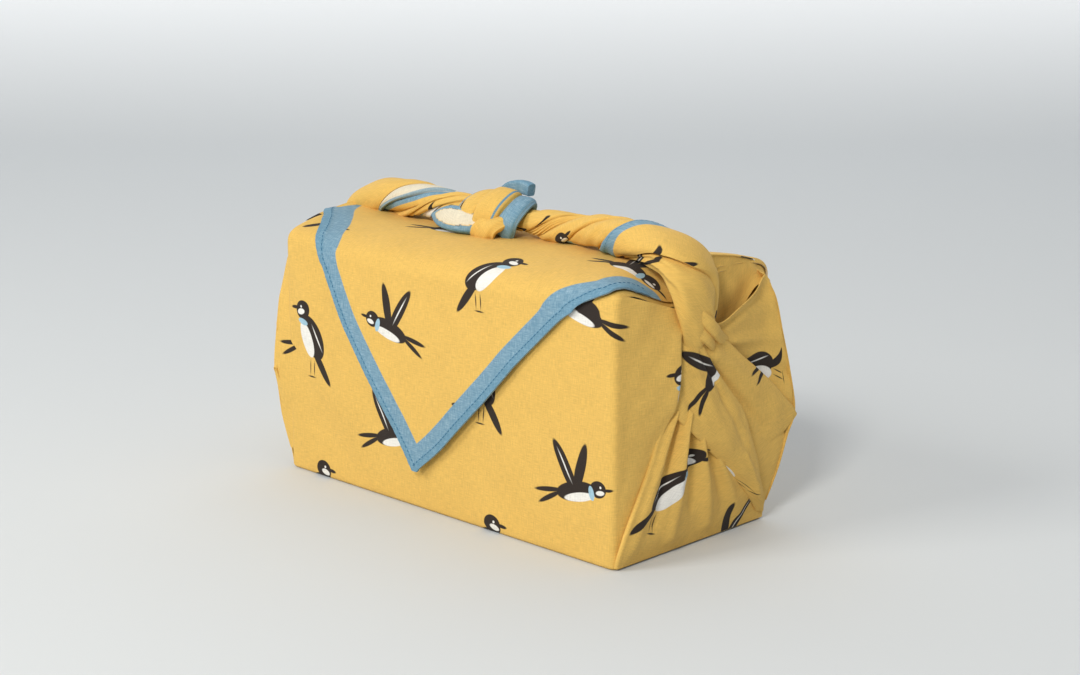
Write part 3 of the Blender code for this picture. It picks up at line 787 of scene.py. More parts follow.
def wrapped_body():
    stations = body_stations()
    flap = smooth_rows(FLAP_ROWS, FLAP_STEPS)
    columns = len(across_places(-1, 1))
    points = np.zeros((len(stations), columns, 3))
    edges = np.zeros((len(stations), 3))
    for row, (section, _, down) in enumerate(stations):
        left, right = -STRIP_HALF, STRIP_HALF
        if down is not None:
            edges[row] = [np.interp(down, flap[:, 0], flap[:, i]) for i in (1, 2, 3)]
            left, right = max(edges[row, 0], left), min(edges[row, 1], right)
        x = across_places(left, right)
        y, z = section(x)
        points[row] = np.stack([x, y, z], axis=-1)
    profile = points[..., 1:]
    along = np.gradient(profile, axis=0)
    out = unit(np.stack([along[..., 1], -along[..., 0]], axis=-1))
    off = np.array([steps for _, steps, _ in stations])
    points[..., 1:] += out * (off * (LAYER_STEP + edges[:, 2] * np.abs(off)))[:, None, None]

    x = points[..., 0]
    middle = columns // 2
    way = run_lengths(points[:, middle : middle + 1], 0)
    shoulder = next(i for i, (_, steps, down) in enumerate(stations) if steps == 0 and down is None)
    way = way - way[shoulder]
    cloth = np.stack([x, np.broadcast_to(-way, x.shape)], axis=-1)
    outer = np.array([down is not None for _, _, down in stations])
    hem = np.full(x.shape, FAR_FROM_HEM)
    for side in (0, 1):
        line = np.stack([edges[outer, side], -way[outer, 0]], axis=-1)
        line = line[np.abs(line[:, 0]) < STRIP_HALF + FORM_MARGIN]
        away = away_from_line(x[outer], cloth[outer][..., 1], line[::2])
        hem[outer] = np.minimum(hem[outer], away)
    shrunk = np.array([0 if down is None else rise(-down, -0.004, 0.010) for _, _, down in stations])
    hem = hem * (1 - TOP_BORDER_GAIN * shrunk[:, None])
    sheet = Sheet(points, cloth, hem)

    inside = rise(STRIP_HALF - np.abs(x), 0.002, 0.020)
    height = sum(top * ripple(x, cloth[..., 1], pitch, seed) for top, pitch, seed in BODY_WAVES)
    is_front = np.array([steps == 0 and down is None for _, steps, down in stations])
    front = is_front[:, None] & (points[..., 1] < 0)
    height = height + np.where(front, creases(x, points[..., 2], FRONT_CREASES), 0)
    pucker = PUCKER_HEIGHT * np.sin(math.tau * (x - cloth[..., 1]) / PUCKER_PITCH)
    pucker = pucker * (1 - rise(hem, 0.004, 0.010))
    on_floor = points[..., 2] < BASE_ROUND * 2
    height = np.where(on_floor, 0, height * inside) + pucker
    return sheet.pushed(height)


# The folds on the ends


WAVE_HEIGHT = 0.0004
WAVE_PITCH = 0.020
LEFT_SEEDS = 20  # added to a sheet's own seed on the left end
CORNER_COLUMNS = 10
CORNER_OFF = 0.0002  # how far the wrap lies off the rounded corner of the form


def drawn_in(values, limit):
    """What passes a limit, cut down to the left end's share of it."""
    return np.where(values > limit, limit + (values - limit) * EAR_LEFT, values)


def end_sheet(end, rows, along, across, crease_rows, seed):
    """A sheet between two edge curves on an end wall, with its soft folds."""
    table = smooth_rows(rows, along)
    if end < 0:
        table[:, [0, 3]] = drawn_in(table[:, [0, 3]], DEPTH / 2 - 0.003)
        table[:, [2, 5]] = drawn_in(table[:, [2, 5]], 0.009)
    share = np.linspace(0, 1, across)
    left, right = table[:, None, 0:3], table[:, None, 3:6]
    place = left + (right - left) * share[None, :, None]
    place[..., 2] += table[:, None, 6] * (1 - (2 * share - 1) ** 2)
    points = np.stack([LENGTH / 2 + place[..., 2], place[..., 0], place[..., 1]], axis=-1)
    sheet = facing_out(Sheet(points), (1.0, 0.3, 0.3))
    y, z = sheet.points[..., 1], sheet.points[..., 2]
    width = run_lengths(sheet.points, 1)
    from_edges = np.minimum(width, width[:, -1:] - width)
    fade = rise(from_edges, 0, 0.006) * rise(z, 0.0, 0.012)
    seed += LEFT_SEEDS if end < 0 else 0
    height = WAVE_HEIGHT * ripple(y, z, WAVE_PITCH, seed) + creases(y, z, crease_rows)
    return sheet.pushed(height * fade)


def front_wrap(end):
    """The front wall's cloth, turned round the upright corner and folded at its free edge."""
    sheet = end_sheet(end, FRONT_WRAP, 64, 36, (), 5)
    if not (sheet.points[:, 0, 1] < sheet.points[:, -1, 1]).all():
        sheet.flipped()
    heights = sheet.points[:, :1, 2]
    angles = np.radians(np.linspace(-12, 78, CORNER_COLUMNS))[None, :]
    radius = CORNER_RADIUS + CORNER_OFF
    above = np.clip((heights - SHOULDER) / TOP_RISE, 0, 0.999)
    square = float(squareness(LENGTH / 2))
    middle = (LENGTH / 2 - CORNER_RADIUS, CORNER_RADIUS - DEPTH / 2 * (1 - above**square) ** (1 / square))
    off = radius - 0.0006 * (1 - np.linspace(0, 1, CORNER_COLUMNS)) ** 2
    x, y = middle[0] + off * np.sin(angles), middle[1] - off * np.cos(angles)
    corner = np.stack(np.broadcast_arrays(x, y, heights), axis=-1)
    points = np.concatenate([corner, sheet.points[:, 1:]], axis=1)
    cloth = np.stack([points[:, :1, 0] + run_lengths(points, 1), points[..., 2] - SHOULDER], axis=-1)
    return facing_out(Sheet(points, cloth), (1.0, 0.0, 0.0)).rolled(1)


def inner_wall(end):
    """The cloth folded in behind the others, which closes the end up to the top."""
    x = np.array([end * (STRIP_HALF - INNER_WALL_INSET)])
    turns = np.linspace(INNER_WALL_MARGIN, math.pi - INNER_WALL_MARGIN, 60)
    top = np.array([top_section(x, turn) for turn in turns])[..., 0]
    rise_of_each = top[:, 1:] - INNER_WALL_DROP - INNER_WALL_FOOT
    height = INNER_WALL_FOOT + rise_of_each * np.linspace(0, 1, 12)[None, :]
    points = np.stack(np.broadcast_arrays(x[0], top[:, :1], height), axis=-1)
    return facing_out(Sheet(points), (end, 0.0, 0.0)).laid_at(0.23, -0.21, 90)


# The other sheets of an end. Columns: edge curves, points along and across, folds, seed of the soft waves,
# place of the print and its turn in degrees, edges that are rolled under.
END_SHEETS = (
    (LOWER_PANEL, 90, 110, PANEL_CREASES, 7, (0.165, -0.29, 8), (0,)),
    (REAR_WRAP, 60, 40, REAR_CREASES, 9, (0.21, -0.20, -20), ()),
    (REAR_EAR, 70, 44, EAR_CREASES, 11, (0.19, -0.30, 35), (0, 1)),
    (DIAGONAL_BAND, 90, 50, BAND_CREASES, 13, (0.26, -0.278, -28), (0, 1)),
    (REAR_FLARE, 60, 30, (), 15, (0.24, -0.247, 0), ()),
    (DISH, 50, 30, (), 17, (0.225, -0.14, 0), ()),
    (DISH_BACK, 40, 16, (), 19, (0.20, -0.10, 0), ()),
)


def end_folds(end):
    sheets = [front_wrap(end)]
    for rows, along, across, crease_rows, seed, print_place, rolled_edges in END_SHEETS:
        sheet = end_sheet(end, rows, along, across, crease_rows, seed).laid_at(*print_place)
        for side in rolled_edges:
            sheet.rolled(side)
        sheets.append(sheet)
    if end < 0:
        sheets = [sheet.turned_half_round() for sheet in sheets]
    return [sheet_parts(sheet, pale_inside=False) for sheet in sheets + [inner_wall(end)]]


# Tails and knot


def swept_frame(table, across):
    """Path of a swept body, with its two directions across: towards `across`, and square to it."""
    path = table[:, :3]
    ahead = unit(np.gradient(path, axis=0))
    across = np.array(across, float)
    side = unit(across - (ahead @ across)[:, None] * ahead)
    return path[:, None], side[:, None], np.cross(ahead, side)[:, None]


def swept(rows, count, around, across, creased=0.0, seed=1, corners=0.8):
    """Rings of a tapering body along a path, wide towards `across`, with fine folds along it."""
    table = smooth_rows(rows, count)
    path, side, above = swept_frame(table, across)
    angle = np.linspace(0, math.tau, around, endpoint=False)[None, :]
    lean = np.radians(table[:, 5])[:, None]
    shape = 1 + creased * ripple(0.004 * np.arange(count)[:, None] / count, angle, 1.4, seed)
    width = table[:, 3, None] * shape * np.sign(np.cos(angle)) * np.abs(np.cos(angle)) ** corners
    height = table[:, 4, None] * shape * np.sign(np.sin(angle)) * np.abs(np.sin(angle)) ** corners
    turned_width = width * np.cos(lean) - height * np.sin(lean)
    turned_height = width * np.sin(lean) + height * np.cos(lean)
    return path + turned_width[..., None] * side + turned_height[..., None] * above


def hem_on(rows, count, around, hems):
    """Distance from the hem on the rings of a swept body whose edges are hemmed."""
    one, other, tucked, growth, limit = hems
    width = smooth_rows(rows, count)[:, 3, None]
    angle = np.linspace(0, 360, around, endpoint=False)[None, :]
    away = [np.abs((angle - at + 180) % 360 - 180) for at in (one, other)]
    distance = tucked + width * np.radians(np.minimum(*away)) * growth
    return np.where(distance < limit, distance, FAR_FROM_HEM)


TAIL_RINGS = 220
FOLD_COLUMNS = 26
HEM_GONE = 7.9  # place along a tail from which its hem is hidden


def twisted_tail(rows, lines, folds, end):
    """Rings of a twisted tail made of folds that overlap along lines, and what its folds show."""
    count = TAIL_RINGS
    table = smooth_rows(rows, count)
    path, side, above = swept_frame(table, (0.0, 1.0, 0.0))
    fine = smooth_rows(lines, 400)
    place = np.linspace(0, len(rows) - 1, count)
    angles = [np.interp(place, fine[:, 0], fine[:, i + 1]) for i in range(len(folds))]
    angles.append(angles[0] + 360)
    share = np.linspace(0, 1, FOLD_COLUMNS)[None, :]
    degrees, shapes, hems, sides = [], [], [], []
    for number, (first, following, middle, wrinkles, wrinkle, hem_edge, tucked, reverse) in enumerate(folds):
        begin, stop = angles[number][:, None], angles[number + 1][:, None]
        angle = begin + (stop - begin) * share
        edge = np.minimum(share, 1 - share)
        rolled = 0.07 * (1 - rise(edge, 0, 0.10)) ** 2
        drift = 0.35 * np.sin(place * 1.7 + number)[:, None]
        shape = 1 + first + (following - first) * share + middle * 4 * share * (1 - share) - rolled
        shape = shape + wrinkle * np.sin(math.tau * (wrinkles * share + drift)) * rise(edge, 0.0, 0.12)
        degrees.append(angle)
        shapes.append(shape)
        radius = 0.5 * (table[:, 3] + table[:, 4])[:, None]
        across = radius * np.radians(stop - begin)
        if hem_edge:
            away = (share if hem_edge < 0 else 1 - share) * across
            hems.append(np.where(place[:, None] < HEM_GONE, tucked + away * 0.8, FAR_FROM_HEM))
        else:
            hems.append(np.full(shape.shape, FAR_FROM_HEM))
        sides.append(np.full(shape.shape, float(reverse)))
    degrees = np.concatenate(degrees, axis=1)
    turn = np.radians(degrees)
    shape = np.concatenate(shapes, axis=1)
    shape = shape + 0.02 * ripple(place[:, None], degrees / 60, 1.1, 5 + end)
    width = -table[:, 3, None] * shape * np.cos(turn)
    height = -end * table[:, 4, None] * shape * np.sin(turn)
    rings = path + width[..., None] * side + height[..., None] * above
    return rings, np.concatenate(hems, axis=1), np.concatenate(sides, axis=1)


def tube_parts(rings, hem=None, reverse=None, at=(0.0, 0.0)):
    """Points, faces and stored values of a closed body through rings of points."""
    count, around = rings.shape[:2]
    index = np.arange(count * around).reshape(count, around)
    beside = np.roll(index, -1, axis=1)
    quads = np.stack([index[:-1], beside[:-1], beside[1:], index[1:]], axis=-1).reshape(-1, 4)
    points = rings.reshape(-1, 3)
    caps = []
    for ring, order in ((index[0], 1), (index[-1], -1)):
        middle = len(points)
        points = np.concatenate([points, rings.reshape(-1, 3)[ring].mean(axis=0)[None]])
        following = np.roll(ring, -1)
        fan = np.stack([np.full(around, middle), following, ring, ring], axis=-1)
        caps.append(fan if order > 0 else fan[:, [0, 2, 1, 1]])
    faces = np.concatenate([quads] + caps)
    along = run_lengths(rings, 0)
    girth = run_lengths(np.concatenate([rings, rings[:, :1]], axis=1), 1)[:, :-1]
    cloth = np.stack([at[0] + along, at[1] + girth], axis=-1).reshape(-1, 2)
    cloth = np.concatenate([cloth, cloth[:1], cloth[-1:]])
    values = []
    for given, usual in ((hem, FAR_FROM_HEM), (reverse, 0.0)):
        flat = np.full(count * around, usual) if given is None else given.ravel()
        values.append(np.concatenate([flat, flat[:1], flat[-1:]]))
    ordered = points[faces[: len(quads)]]
    normal = np.cross(ordered[:, 1] - ordered[:, 0], ordered[:, 3] - ordered[:, 0])
    middle_of_ring = np.repeat(rings.mean(axis=1)[:-1], around, axis=0)
    if (normal * (ordered[:, 0] - middle_of_ring)).sum() < 0:
        faces = faces[:, ::-1]
    return points, faces, cloth, values[0], values[1]


# The seam of the hem


def seam(points, out, hem, last=False):
    """Places where the hem is sewn, one to a row, found from the first edge of each row or the last."""
    level = sizes().stitch_inset
    raised = points + out - np.array((0.0, FORM_FORWARD, 0.0))
    found = []
    for places, away in zip(raised, hem):
        if last:
            places, away = places[::-1], away[::-1]
        passed = np.flatnonzero((away[:-1] < level) & (away[1:] >= level))
        if len(passed):
            at = passed[0]
            share = (level - away[at]) / min(away[at + 1] - away[at], 0.01)
            found.append(places[at] + (places[at + 1] - places[at]) * share)
    return found


def stitch_tree(thread):
    """Geometry nodes that sew evenly spaced stitches along a seam."""
    tree = bpy.data.node_groups.new("hem stitches", "GeometryNodeTree")
    sockets = (
        ("Seam", "INPUT", "NodeSocketGeometry"),
        ("Pitch", "INPUT", "NodeSocketFloat"),
        ("Length", "INPUT", "NodeSocketFloat"),
        ("Thread", "INPUT", "NodeSocketFloat"),
        ("Seed", "INPUT", "NodeSocketInt"),
        ("Stitches", "OUTPUT", "NodeSocketGeometry"),
    )
    for name, way, kind in sockets:
        tree.interface.new_socket(name=name, in_out=way, socket_type=kind)

    def node(kind, inputs, output=0, **settings):
        made = tree.nodes.new(kind)
        for key, value in settings.items():
            setattr(made, key, value)
        for key, value in inputs.items():
            if isinstance(value, bpy.types.NodeSocket):
                tree.links.new(value, made.inputs[key])
            else:
                made.inputs[key].default_value = value
        return made.outputs[output]

    given = tree.nodes.new("NodeGroupInput").outputs
    curve = node("GeometryNodeMeshToCurve", {"Mesh": given["Seam"]})
    spaced = node("GeometryNodeResampleCurve", {"Curve": curve, "Length": given["Pitch"]}, mode="LENGTH")
    unevenness = {"Min": 0.88, "Max": 1.12, "Seed": given["Seed"]}
    chance = node("FunctionNodeRandomValue", unevenness, "Value", data_type="FLOAT")
    length = node("ShaderNodeMath", {0: given["Length"], 1: chance}, operation="MULTIPLY")
    size = node("ShaderNodeCombineXYZ", {0: length, 1: given["Thread"], 2: given["Thread"]})
    bead = node("GeometryNodeMeshUVSphere", {"Segments": 8, "Rings": 5, "Radius": 0.5})
    ahead = node("GeometryNodeInputTangent", {})
    turned = node("FunctionNodeAlignRotationToVector", {"Vector": ahead}, axis="X")
    stitch = {"Points": spaced, "Instance": bead, "Rotation": turned, "Scale": size}
    real = node("GeometryNodeRealizeInstances", {"Geometry": node("GeometryNodeInstanceOnPoints", stitch)})
    dyed = node("GeometryNodeSetMaterial", {"Geometry": real, "Material": thread})
    tree.links.new(dyed, tree.nodes.new("NodeGroupOutput").inputs[0])
    return tree


def stitches(name, seams):
    """The stitches along several seams, as one plain mesh."""
    points, edges = [], []
    for line in seams:
        edges += [(len(points) + i, len(points) + i + 1) for i in range(len(line) - 1)]
        points += [tuple(place) for place in line]
    mesh = bpy.data.meshes.new(name)
    mesh.from_pydata(points, edges, [])
    obj = placed(name, mesh)
    thread = plain_material("sewing thread", colours().thread, 0.8)
    tree = stitch_tree(thread)
    modifier = obj.modifiers.new("hem stitches", "NODES")
    modifier.node_group = tree
    size = sizes()
    values = {"Pitch": size.stitch_pitch, "Length": size.stitch_length, "Thread": size.thread, "Seed": 4}
    for item in tree.interface.items_tree:
        if item.name in values:
            modifier[item.identifier] = values[item.name]
    graph = bpy.context.evaluated_depsgraph_get()
    made = bpy.data.meshes.new_from_object(obj.evaluated_get(graph))
    obj.modifiers.remove(modifier)
    obj.data = made
    if thread.name not in made.materials:
        made.materials.append(thread)
    return obj


# Materials


class Value:
    """A shader socket in a sum: each operator adds its Math node."""

    def __init__(self, shader, socket):
        self.shader = shader
        self.socket = socket

    def math(self, operation, *others, clamp=False):
        settings = {"operation": operation, "use_clamp": clamp}
        return self.shader.node("ShaderNodeMath", settings, self, *others)

    def __add__(self, other):
        return self.math("ADD", other)

    def __sub__(self, other):
        return self.math("SUBTRACT", other)

    def __mul__(self, other):
        return self.math("MULTIPLY", other)

    def __truediv__(self, other):
        return self.math("DIVIDE", other)

    def __radd__(self, other):
        return self + other

    def __rsub__(self, other):
        return self * -1 + other


class Shader:
    """The node tree of one material."""

    def __init__(self, name):
        self.material = bpy.data.materials.new(name)
        self.material.use_nodes = True
        self.tree = self.material.node_tree
        self.surface = self.tree.nodes["Principled BSDF"]

    def node(self, kind, settings=None, *inputs, output=0, **named):
        """A node of this type: its settings first, then the values or links of its sockets."""
        made = self.tree.nodes.new(kind)
        for key, value in (settings or {}).items():
            setattr(made, key, value)
        for key, value in list(enumerate(inputs)) + list(named.items()):
            self.feed(made.inputs[key], value)
        return Value(self, made.outputs[output])

    def feed(self, socket, value):
        if isinstance(value, Value):
            self.tree.links.new(value.socket, socket)
        else:
            socket.default_value = value

    def mix(self, share, first, second):
        made = self.tree.nodes.new("ShaderNodeMix")
        made.data_type = "RGBA"
        made.clamp_factor = True
        for name, value in (("Factor_Float", share), ("A_Color", first), ("B_Color", second)):
            self.feed(next(s for s in made.inputs if s.identifier == name), value)
        return Value(self, next(s for s in made.outputs if s.identifier == "Result_Color"))

    def parts(self, vector):
        """The three parts of a vector."""
        made = self.tree.nodes.new("ShaderNodeSeparateXYZ")
        self.feed(made.inputs[0], vector)
        return [Value(self, socket) for socket in made.outputs]

    def finished(self, values):
        """The material, with these values or links on its surface."""
        for name, value in values.items():
            self.feed(self.surface.inputs[name], value)
        return self.material

    def moved(self, vector, place=(0, 0, 0), turn=0.0, size=(1, 1, 1)):
        """The vector as seen from a place, turned by an angle and measured in steps of this size."""
        return self.node(
            "ShaderNodeMapping",
            {"vector_type": "TEXTURE"},
            vector,
            (place[0], place[1], 0.0),
            (0.0, 0.0, math.radians(turn)),
            size,
        )

    def noise(self, vector, size, detail, seed):
        """Noise from 0 to 1, in grains of this size."""
        grains = self.moved(vector, size=size)
        return self.node("ShaderNodeTexNoise", {"noise_dimensions": "4D"}, grains, seed, 1.0, detail)


# Printed birds, looking left, as ellipses. Columns: ink, x and y of the middle, half length, half
# breadth, turn in degrees. Lengths are in steps of FIGURE_STEP.
PERCHED_BIRD = (
    ("dark", 8, -17, 13.5, 2.7, -52),
    ("dark", 0.5, -1, 14, 8.2, -58),
    ("dark", -7.5, 14, 6.3, 5.6, 20),
    ("dark", -14.5, 14.6, 4, 1.2, 4),
    ("white", -4.2, -3, 11, 4.8, -66),
    ("white", -9, 12.8, 3.6, 1.9, 12),
    ("blue", -7.6, 7, 4.6, 1.9, -12),
    ("dark", -2, -19, 5.5, 0.55, 84),
    ("dark", 1.6, -19, 5.5, 0.55, 84),
    ("dark", -1.2, -24.4, 4.4, 0.6, 0),
    ("white", 4.6, -1, 9.5, 0.6, -60),
    ("white", -8.6, 15.8, 0.9, 0.9, 0),
)
FLYING_BIRD = (
    ("dark", 9, 11, 16.5, 3.7, 58),
    ("dark", -1, 12, 15, 3.3, 104),
    ("dark", 1.5, 0, 14.5, 5.4, -14),
    ("dark", -13, 4, 5.6, 4.6, -10),
    ("dark", -19.4, 4.8, 3.6, 1, -8),
    ("dark", 20, -6.8, 10, 1.5, -30),
    ("dark", 21, -3, 10.5, 1.5, -10),
    ("white", -0.5, -2.6, 11, 2.5, -14),
    ("white", -14.4, 2.4, 3.2, 1.4, -12),
    ("blue", -8.6, 1.2, 1.8, 4, -14),
    ("white", 9.6, 12, 11, 0.6, 58),
    ("white", -14.6, 5.4, 0.8, 0.8, 0),
)
FIGURE_STEP = 0.00115
INK_EDGE = 3.2  # how sharp the edge of the ink is


def inks_of(shader, place, figure):
    """How much of each ink a figure has at a place."""
    masks = {}
    for ink, x, y, half_length, half_breadth, turn in figure:
        size = (half_length * FIGURE_STEP, half_breadth * FIGURE_STEP, 1.0)
        seen = shader.moved(place, (x * FIGURE_STEP, y * FIGURE_STEP), turn, size)
        away = shader.node("ShaderNodeVectorMath", {"operation": "LENGTH"}, seen, output="Value")
        inside = (1 - away).math("MULTIPLY", half_breadth * INK_EDGE, clamp=True)
        masks[ink] = inside if ink not in masks else masks[ink].math("MAXIMUM", inside)
    return masks


def printed(shader, cloth, ground):
    """The ground with its birds: columns a half drop apart, the two figures in turn."""
    size, ink = sizes(), colours()
    across, up, _ = shader.parts(cloth)
    column = (across / size.print_across).math("FLOOR")
    parity = column.math("FLOORED_MODULO", 2.0)
    lifted = up + parity * (size.print_drop / 2)
    row = (lifted / size.print_drop).math("FLOOR")
    facing = (row + column).math("FLOORED_MODULO", 2.0) * 2 - 1
    x = (across - (column + 0.5) * size.print_across) * facing
    y = lifted - (row + 0.5) * size.print_drop
    place = shader.node("ShaderNodeCombineXYZ", None, x, y, 0.0)
    masks = [inks_of(shader, place, figure) for figure in (PERCHED_BIRD, FLYING_BIRD)]
    result = ground
    for name, tint in (("dark", ink.dark_ink), ("white", ink.white_ink), ("blue", ink.blue_ink)):
        share = masks[0][name] * (1 - parity) + masks[1][name] * parity
        result = shader.mix(share, result, tuple(tint))
    return result


# Colours of the fibres that took less dye, on the border and on the hem.
PALE_BORDER = (0.36, 0.46, 0.52, 1)
PALE_HEM = (0.26, 0.39, 0.48, 1)
DYE_EDGE = 2500.0  # how sharp the border and the hem end, for each metre
WEAVE_SIZE = 0.00095


def cotton():
    """Plain-weave cotton: printed ground, border and hem on the right side, pale on the reverse."""
    name = "printed cotton"
    if name in bpy.data.materials:
        return bpy.data.materials[name]
    size, ink = sizes(), colours()
    shader = Shader(name)
    cloth = shader.node("ShaderNodeUVMap", {"uv_map": "cloth"})
    hem = shader.node("ShaderNodeAttribute", {"attribute_name": "hem"}, output="Fac")
    reverse = shader.node("ShaderNodeAttribute", {"attribute_name": "reverse"}, output="Fac")

    weft = shader.noise(cloth, (0.0060, 0.0005, 1), 2.0, 1.0)
    warp = shader.noise(cloth, (0.0005, 0.0060, 1), 2.0, 2.0)
    slub = weft + warp - 1.0
    patchy = shader.noise(cloth, (0.030, 0.030, 1), 3.0, 3.0) - 0.5

    ground = printed(shader, cloth, tuple(ink.ground))
    in_border = (size.border_width - hem).math("MULTIPLY", DYE_EDGE, clamp=True)
    in_hem = (size.hem_width - hem).math("MULTIPLY", DYE_EDGE, clamp=True)
    heather = (slub * 1.6).math("ADD", 0.12, clamp=True)
    right_side = shader.mix(in_border, ground, shader.mix(heather, tuple(ink.border), PALE_BORDER))
    right_side = shader.mix(in_hem, right_side, shader.mix(heather, tuple(ink.hem), PALE_HEM))
    shown = shader.mix(reverse * (1 - in_hem * 0.8), right_side, tuple(ink.reverse))
    tone = 1 + slub * 0.45 + patchy * 0.14
    shade = shader.node("ShaderNodeCombineXYZ", None, tone, tone, tone)

    threads = shader.moved(cloth, size=(WEAVE_SIZE, WEAVE_SIZE, 1))
    weave = shader.node("ShaderNodeTexChecker", None, threads, output="Fac")
    return shader.finished(
        {
            "Base Color": shader.node("ShaderNodeVectorMath", {"operation": "MULTIPLY"}, shown, shade),
            "Roughness": 0.86 + slub * 0.20,
            "Sheen Weight": 0.05,
            "Sheen Roughness": 0.5,
            "Specular IOR Level": 0.25,
            "Normal": shader.node("ShaderNodeBump", None, 0.35, 0.00035, Height=slub + weave * 0.10),
        }
    )


def plain_material(name, base, roughness):
    return Shader(name).finished(
        {"Base Color": tuple(base), "Roughness": roughness, "Specular IOR Level": 0.2}
    )


# Painted light on the backdrop: the paper glows with this colour, more the higher it rises behind the
# object, though it is no lamp.
PAINTED_WALL_LIGHT = (0.740, 0.745, 0.755, 1)
PAINTED_LIGHT_GROWTH = 2.4  # share of the painted glow for each metre of height


def stage_paper_with_painted_light():
    """Pale paper that is a little lighter where it rises behind the object, from painted light: it glows
    though it is no lamp.
    """
    shader = Shader("stage paper")
    height = shader.parts(shader.node("ShaderNodeTexCoord", output="Object"))[2]
    lit = height.math("MULTIPLY", PAINTED_LIGHT_GROWTH, clamp=True)
    return shader.finished(
        {
            "Base Color": tuple(colours().stage),
            "Roughness": 0.9,
            "Specular IOR Level": 0.2,
            "Emission Color": shader.mix(lit, (0.0, 0.0, 0.0, 1), PAINTED_WALL_LIGHT),
            "Emission Strength": 1.0,
        }
    )


# Operators


def dressed(obj):
    """The piece rides on the wrap and stands for its solid."""
    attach(obj, "root")
    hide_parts("furoshiki")
    return obj


class CLOTH_OT_body(bpy.types.Operator):
    """Add the cloth round the form, with its hanging point"""

    bl_idname = "cloth.body"
    bl_label = "Wrapped Body"

    def execute(self, context):
        dressed(piece_of("wrapped_body", [sheet_parts(wrapped_body())]))
        return {"FINISHED"}


class CLOTH_OT_ends(bpy.types.Operator):
    """Add the folds on both ends"""

    bl_idname = "cloth.ends"
    bl_label = "End Folds"

    def execute(self, context):
        dressed(piece_of("right_end_folds", end_folds(1)))
        dressed(piece_of("left_end_folds", end_folds(-1)))
        return {"FINISHED"}


class CLOTH_OT_tails(bpy.types.Operator):
    """Add the two twisted tails"""

    bl_idname = "cloth.tails"
    bl_label = "Twisted Tails"

    def execute(self, context):
        for name, tables, end in (("right_tail", RIGHT_TAIL, 1), ("left_tail", LEFT_TAIL, -1)):
            rings, hem, reverse = twisted_tail(*tables, end)
            parts = [tube_parts(rings, hem, reverse, (TAIL_PRINT[0] * end, TAIL_PRINT[1]))]
            for rows in COLLAR:
                pleat = swept(rows, 50, 32, (0, 0, 1), 0.06, 21) * np.array((end, end, 1.0))
                parts.append(tube_parts(pleat, at=COLLAR_PRINT))
            dressed(piece_of(name, parts))
        return {"FINISHED"}


class CLOTH_OT_knot(bpy.types.Operator):
    """Add the knot and its two free ends"""

    bl_idname = "cloth.knot"
    bl_label = "Knot"

    def execute(self, context):
        parts = []
        for number, (rows, hems) in enumerate(zip(KNOT_WRAPS, KNOT_HEMS)):
            rings = swept(rows, 60, 48, (1, 0, 0), 0.09, 30 + number)
            print_place = (KNOT_PRINT[0], KNOT_PRINT[1] + KNOT_PRINT_STEP * number)
            parts.append(tube_parts(rings, hem_on(rows, 60, 48, hems), None, print_place))
        rings = swept(LYING_END, 60, 48, (0, 1, 0), 0.05, 41)
        hem = hem_on(LYING_END, 60, 48, LYING_HEMS)
        parts.append(tube_parts(rings, hem, rise(hem, 0.0100, 0.0200)))
        rings = swept(STANDING_END, 40, 48, (0, 0, 1), 0.02, 43, 0.45)
        parts.append(tube_parts(rings, hem_on(STANDING_END, 40, 48, STANDING_HEMS)))
        dressed(piece_of("knot", parts))
        return {"FINISHED"}


class CLOTH_OT_stitches(bpy.types.Operator):
    """Add the stitches of the hem"""

    bl_idname = "cloth.stitches"
    bl_label = "Hem Stitches"

    def execute(self, context):
        sheet = wrapped_body()
        out = grid_normals(sheet.points) * (sizes().hem_rise + STITCH_OFF)
        seams = [seam(sheet.points, out, sheet.hem, last) for last in (False, True)]
        rings, hem, _ = twisted_tail(*RIGHT_TAIL, 1)
        out = unit(rings - rings.mean(axis=1, keepdims=True))
        seams.append(seam(rings, -STITCH_OFF * out, hem, True))
        dressed(stitches("hem_stitches", seams))
        return {"FINISHED"}


class CLOTH_OT_stage(bpy.types.Operator):
    """Add the pale floor, the soft light and the camera"""

    bl_idname = "cloth.stage"
    bl_label = "Stage"

    def execute(self, context):
        backdrop()
        lights()
        camera()
        context.scene.view_settings.view_transform = "Standard"
        return {"FINISHED"}


# Place of the camera that took the photograph, its tilt and turn in degrees, and its field of view.
CAMERA_PLACE = (0.85082, -0.85322, 0.38686)
CAMERA_TILT = 90 - 13.3206
CAMERA_TURN = 44.3385
CAMERA_ROLL = -0.117
PIXEL_FOCUS = 1938.4
IMAGE_WIDTH = 1080
SENSOR = 36.0


def camera():
    data = bpy.data.cameras.new("camera")
    data.sensor_width = SENSOR
    data.lens = SENSOR * PIXEL_FOCUS / IMAGE_WIDTH
    data.clip_start = 0.05
    obj = placed("camera", data)
    obj.location = CAMERA_PLACE
    obj.rotation_euler = (math.radians(CAMERA_TILT), math.radians(CAMERA_ROLL), math.radians(CAMERA_TURN))
    bpy.context.scene.camera = obj


FLOOR_DROP = -0.0004
FLOOR_NEAR, FLOOR_FAR = -2.4, 1.6
SWEEP_RADIUS = 0.9
WALL_TOP = 3.0
BACKDROP_HALF = 3.2


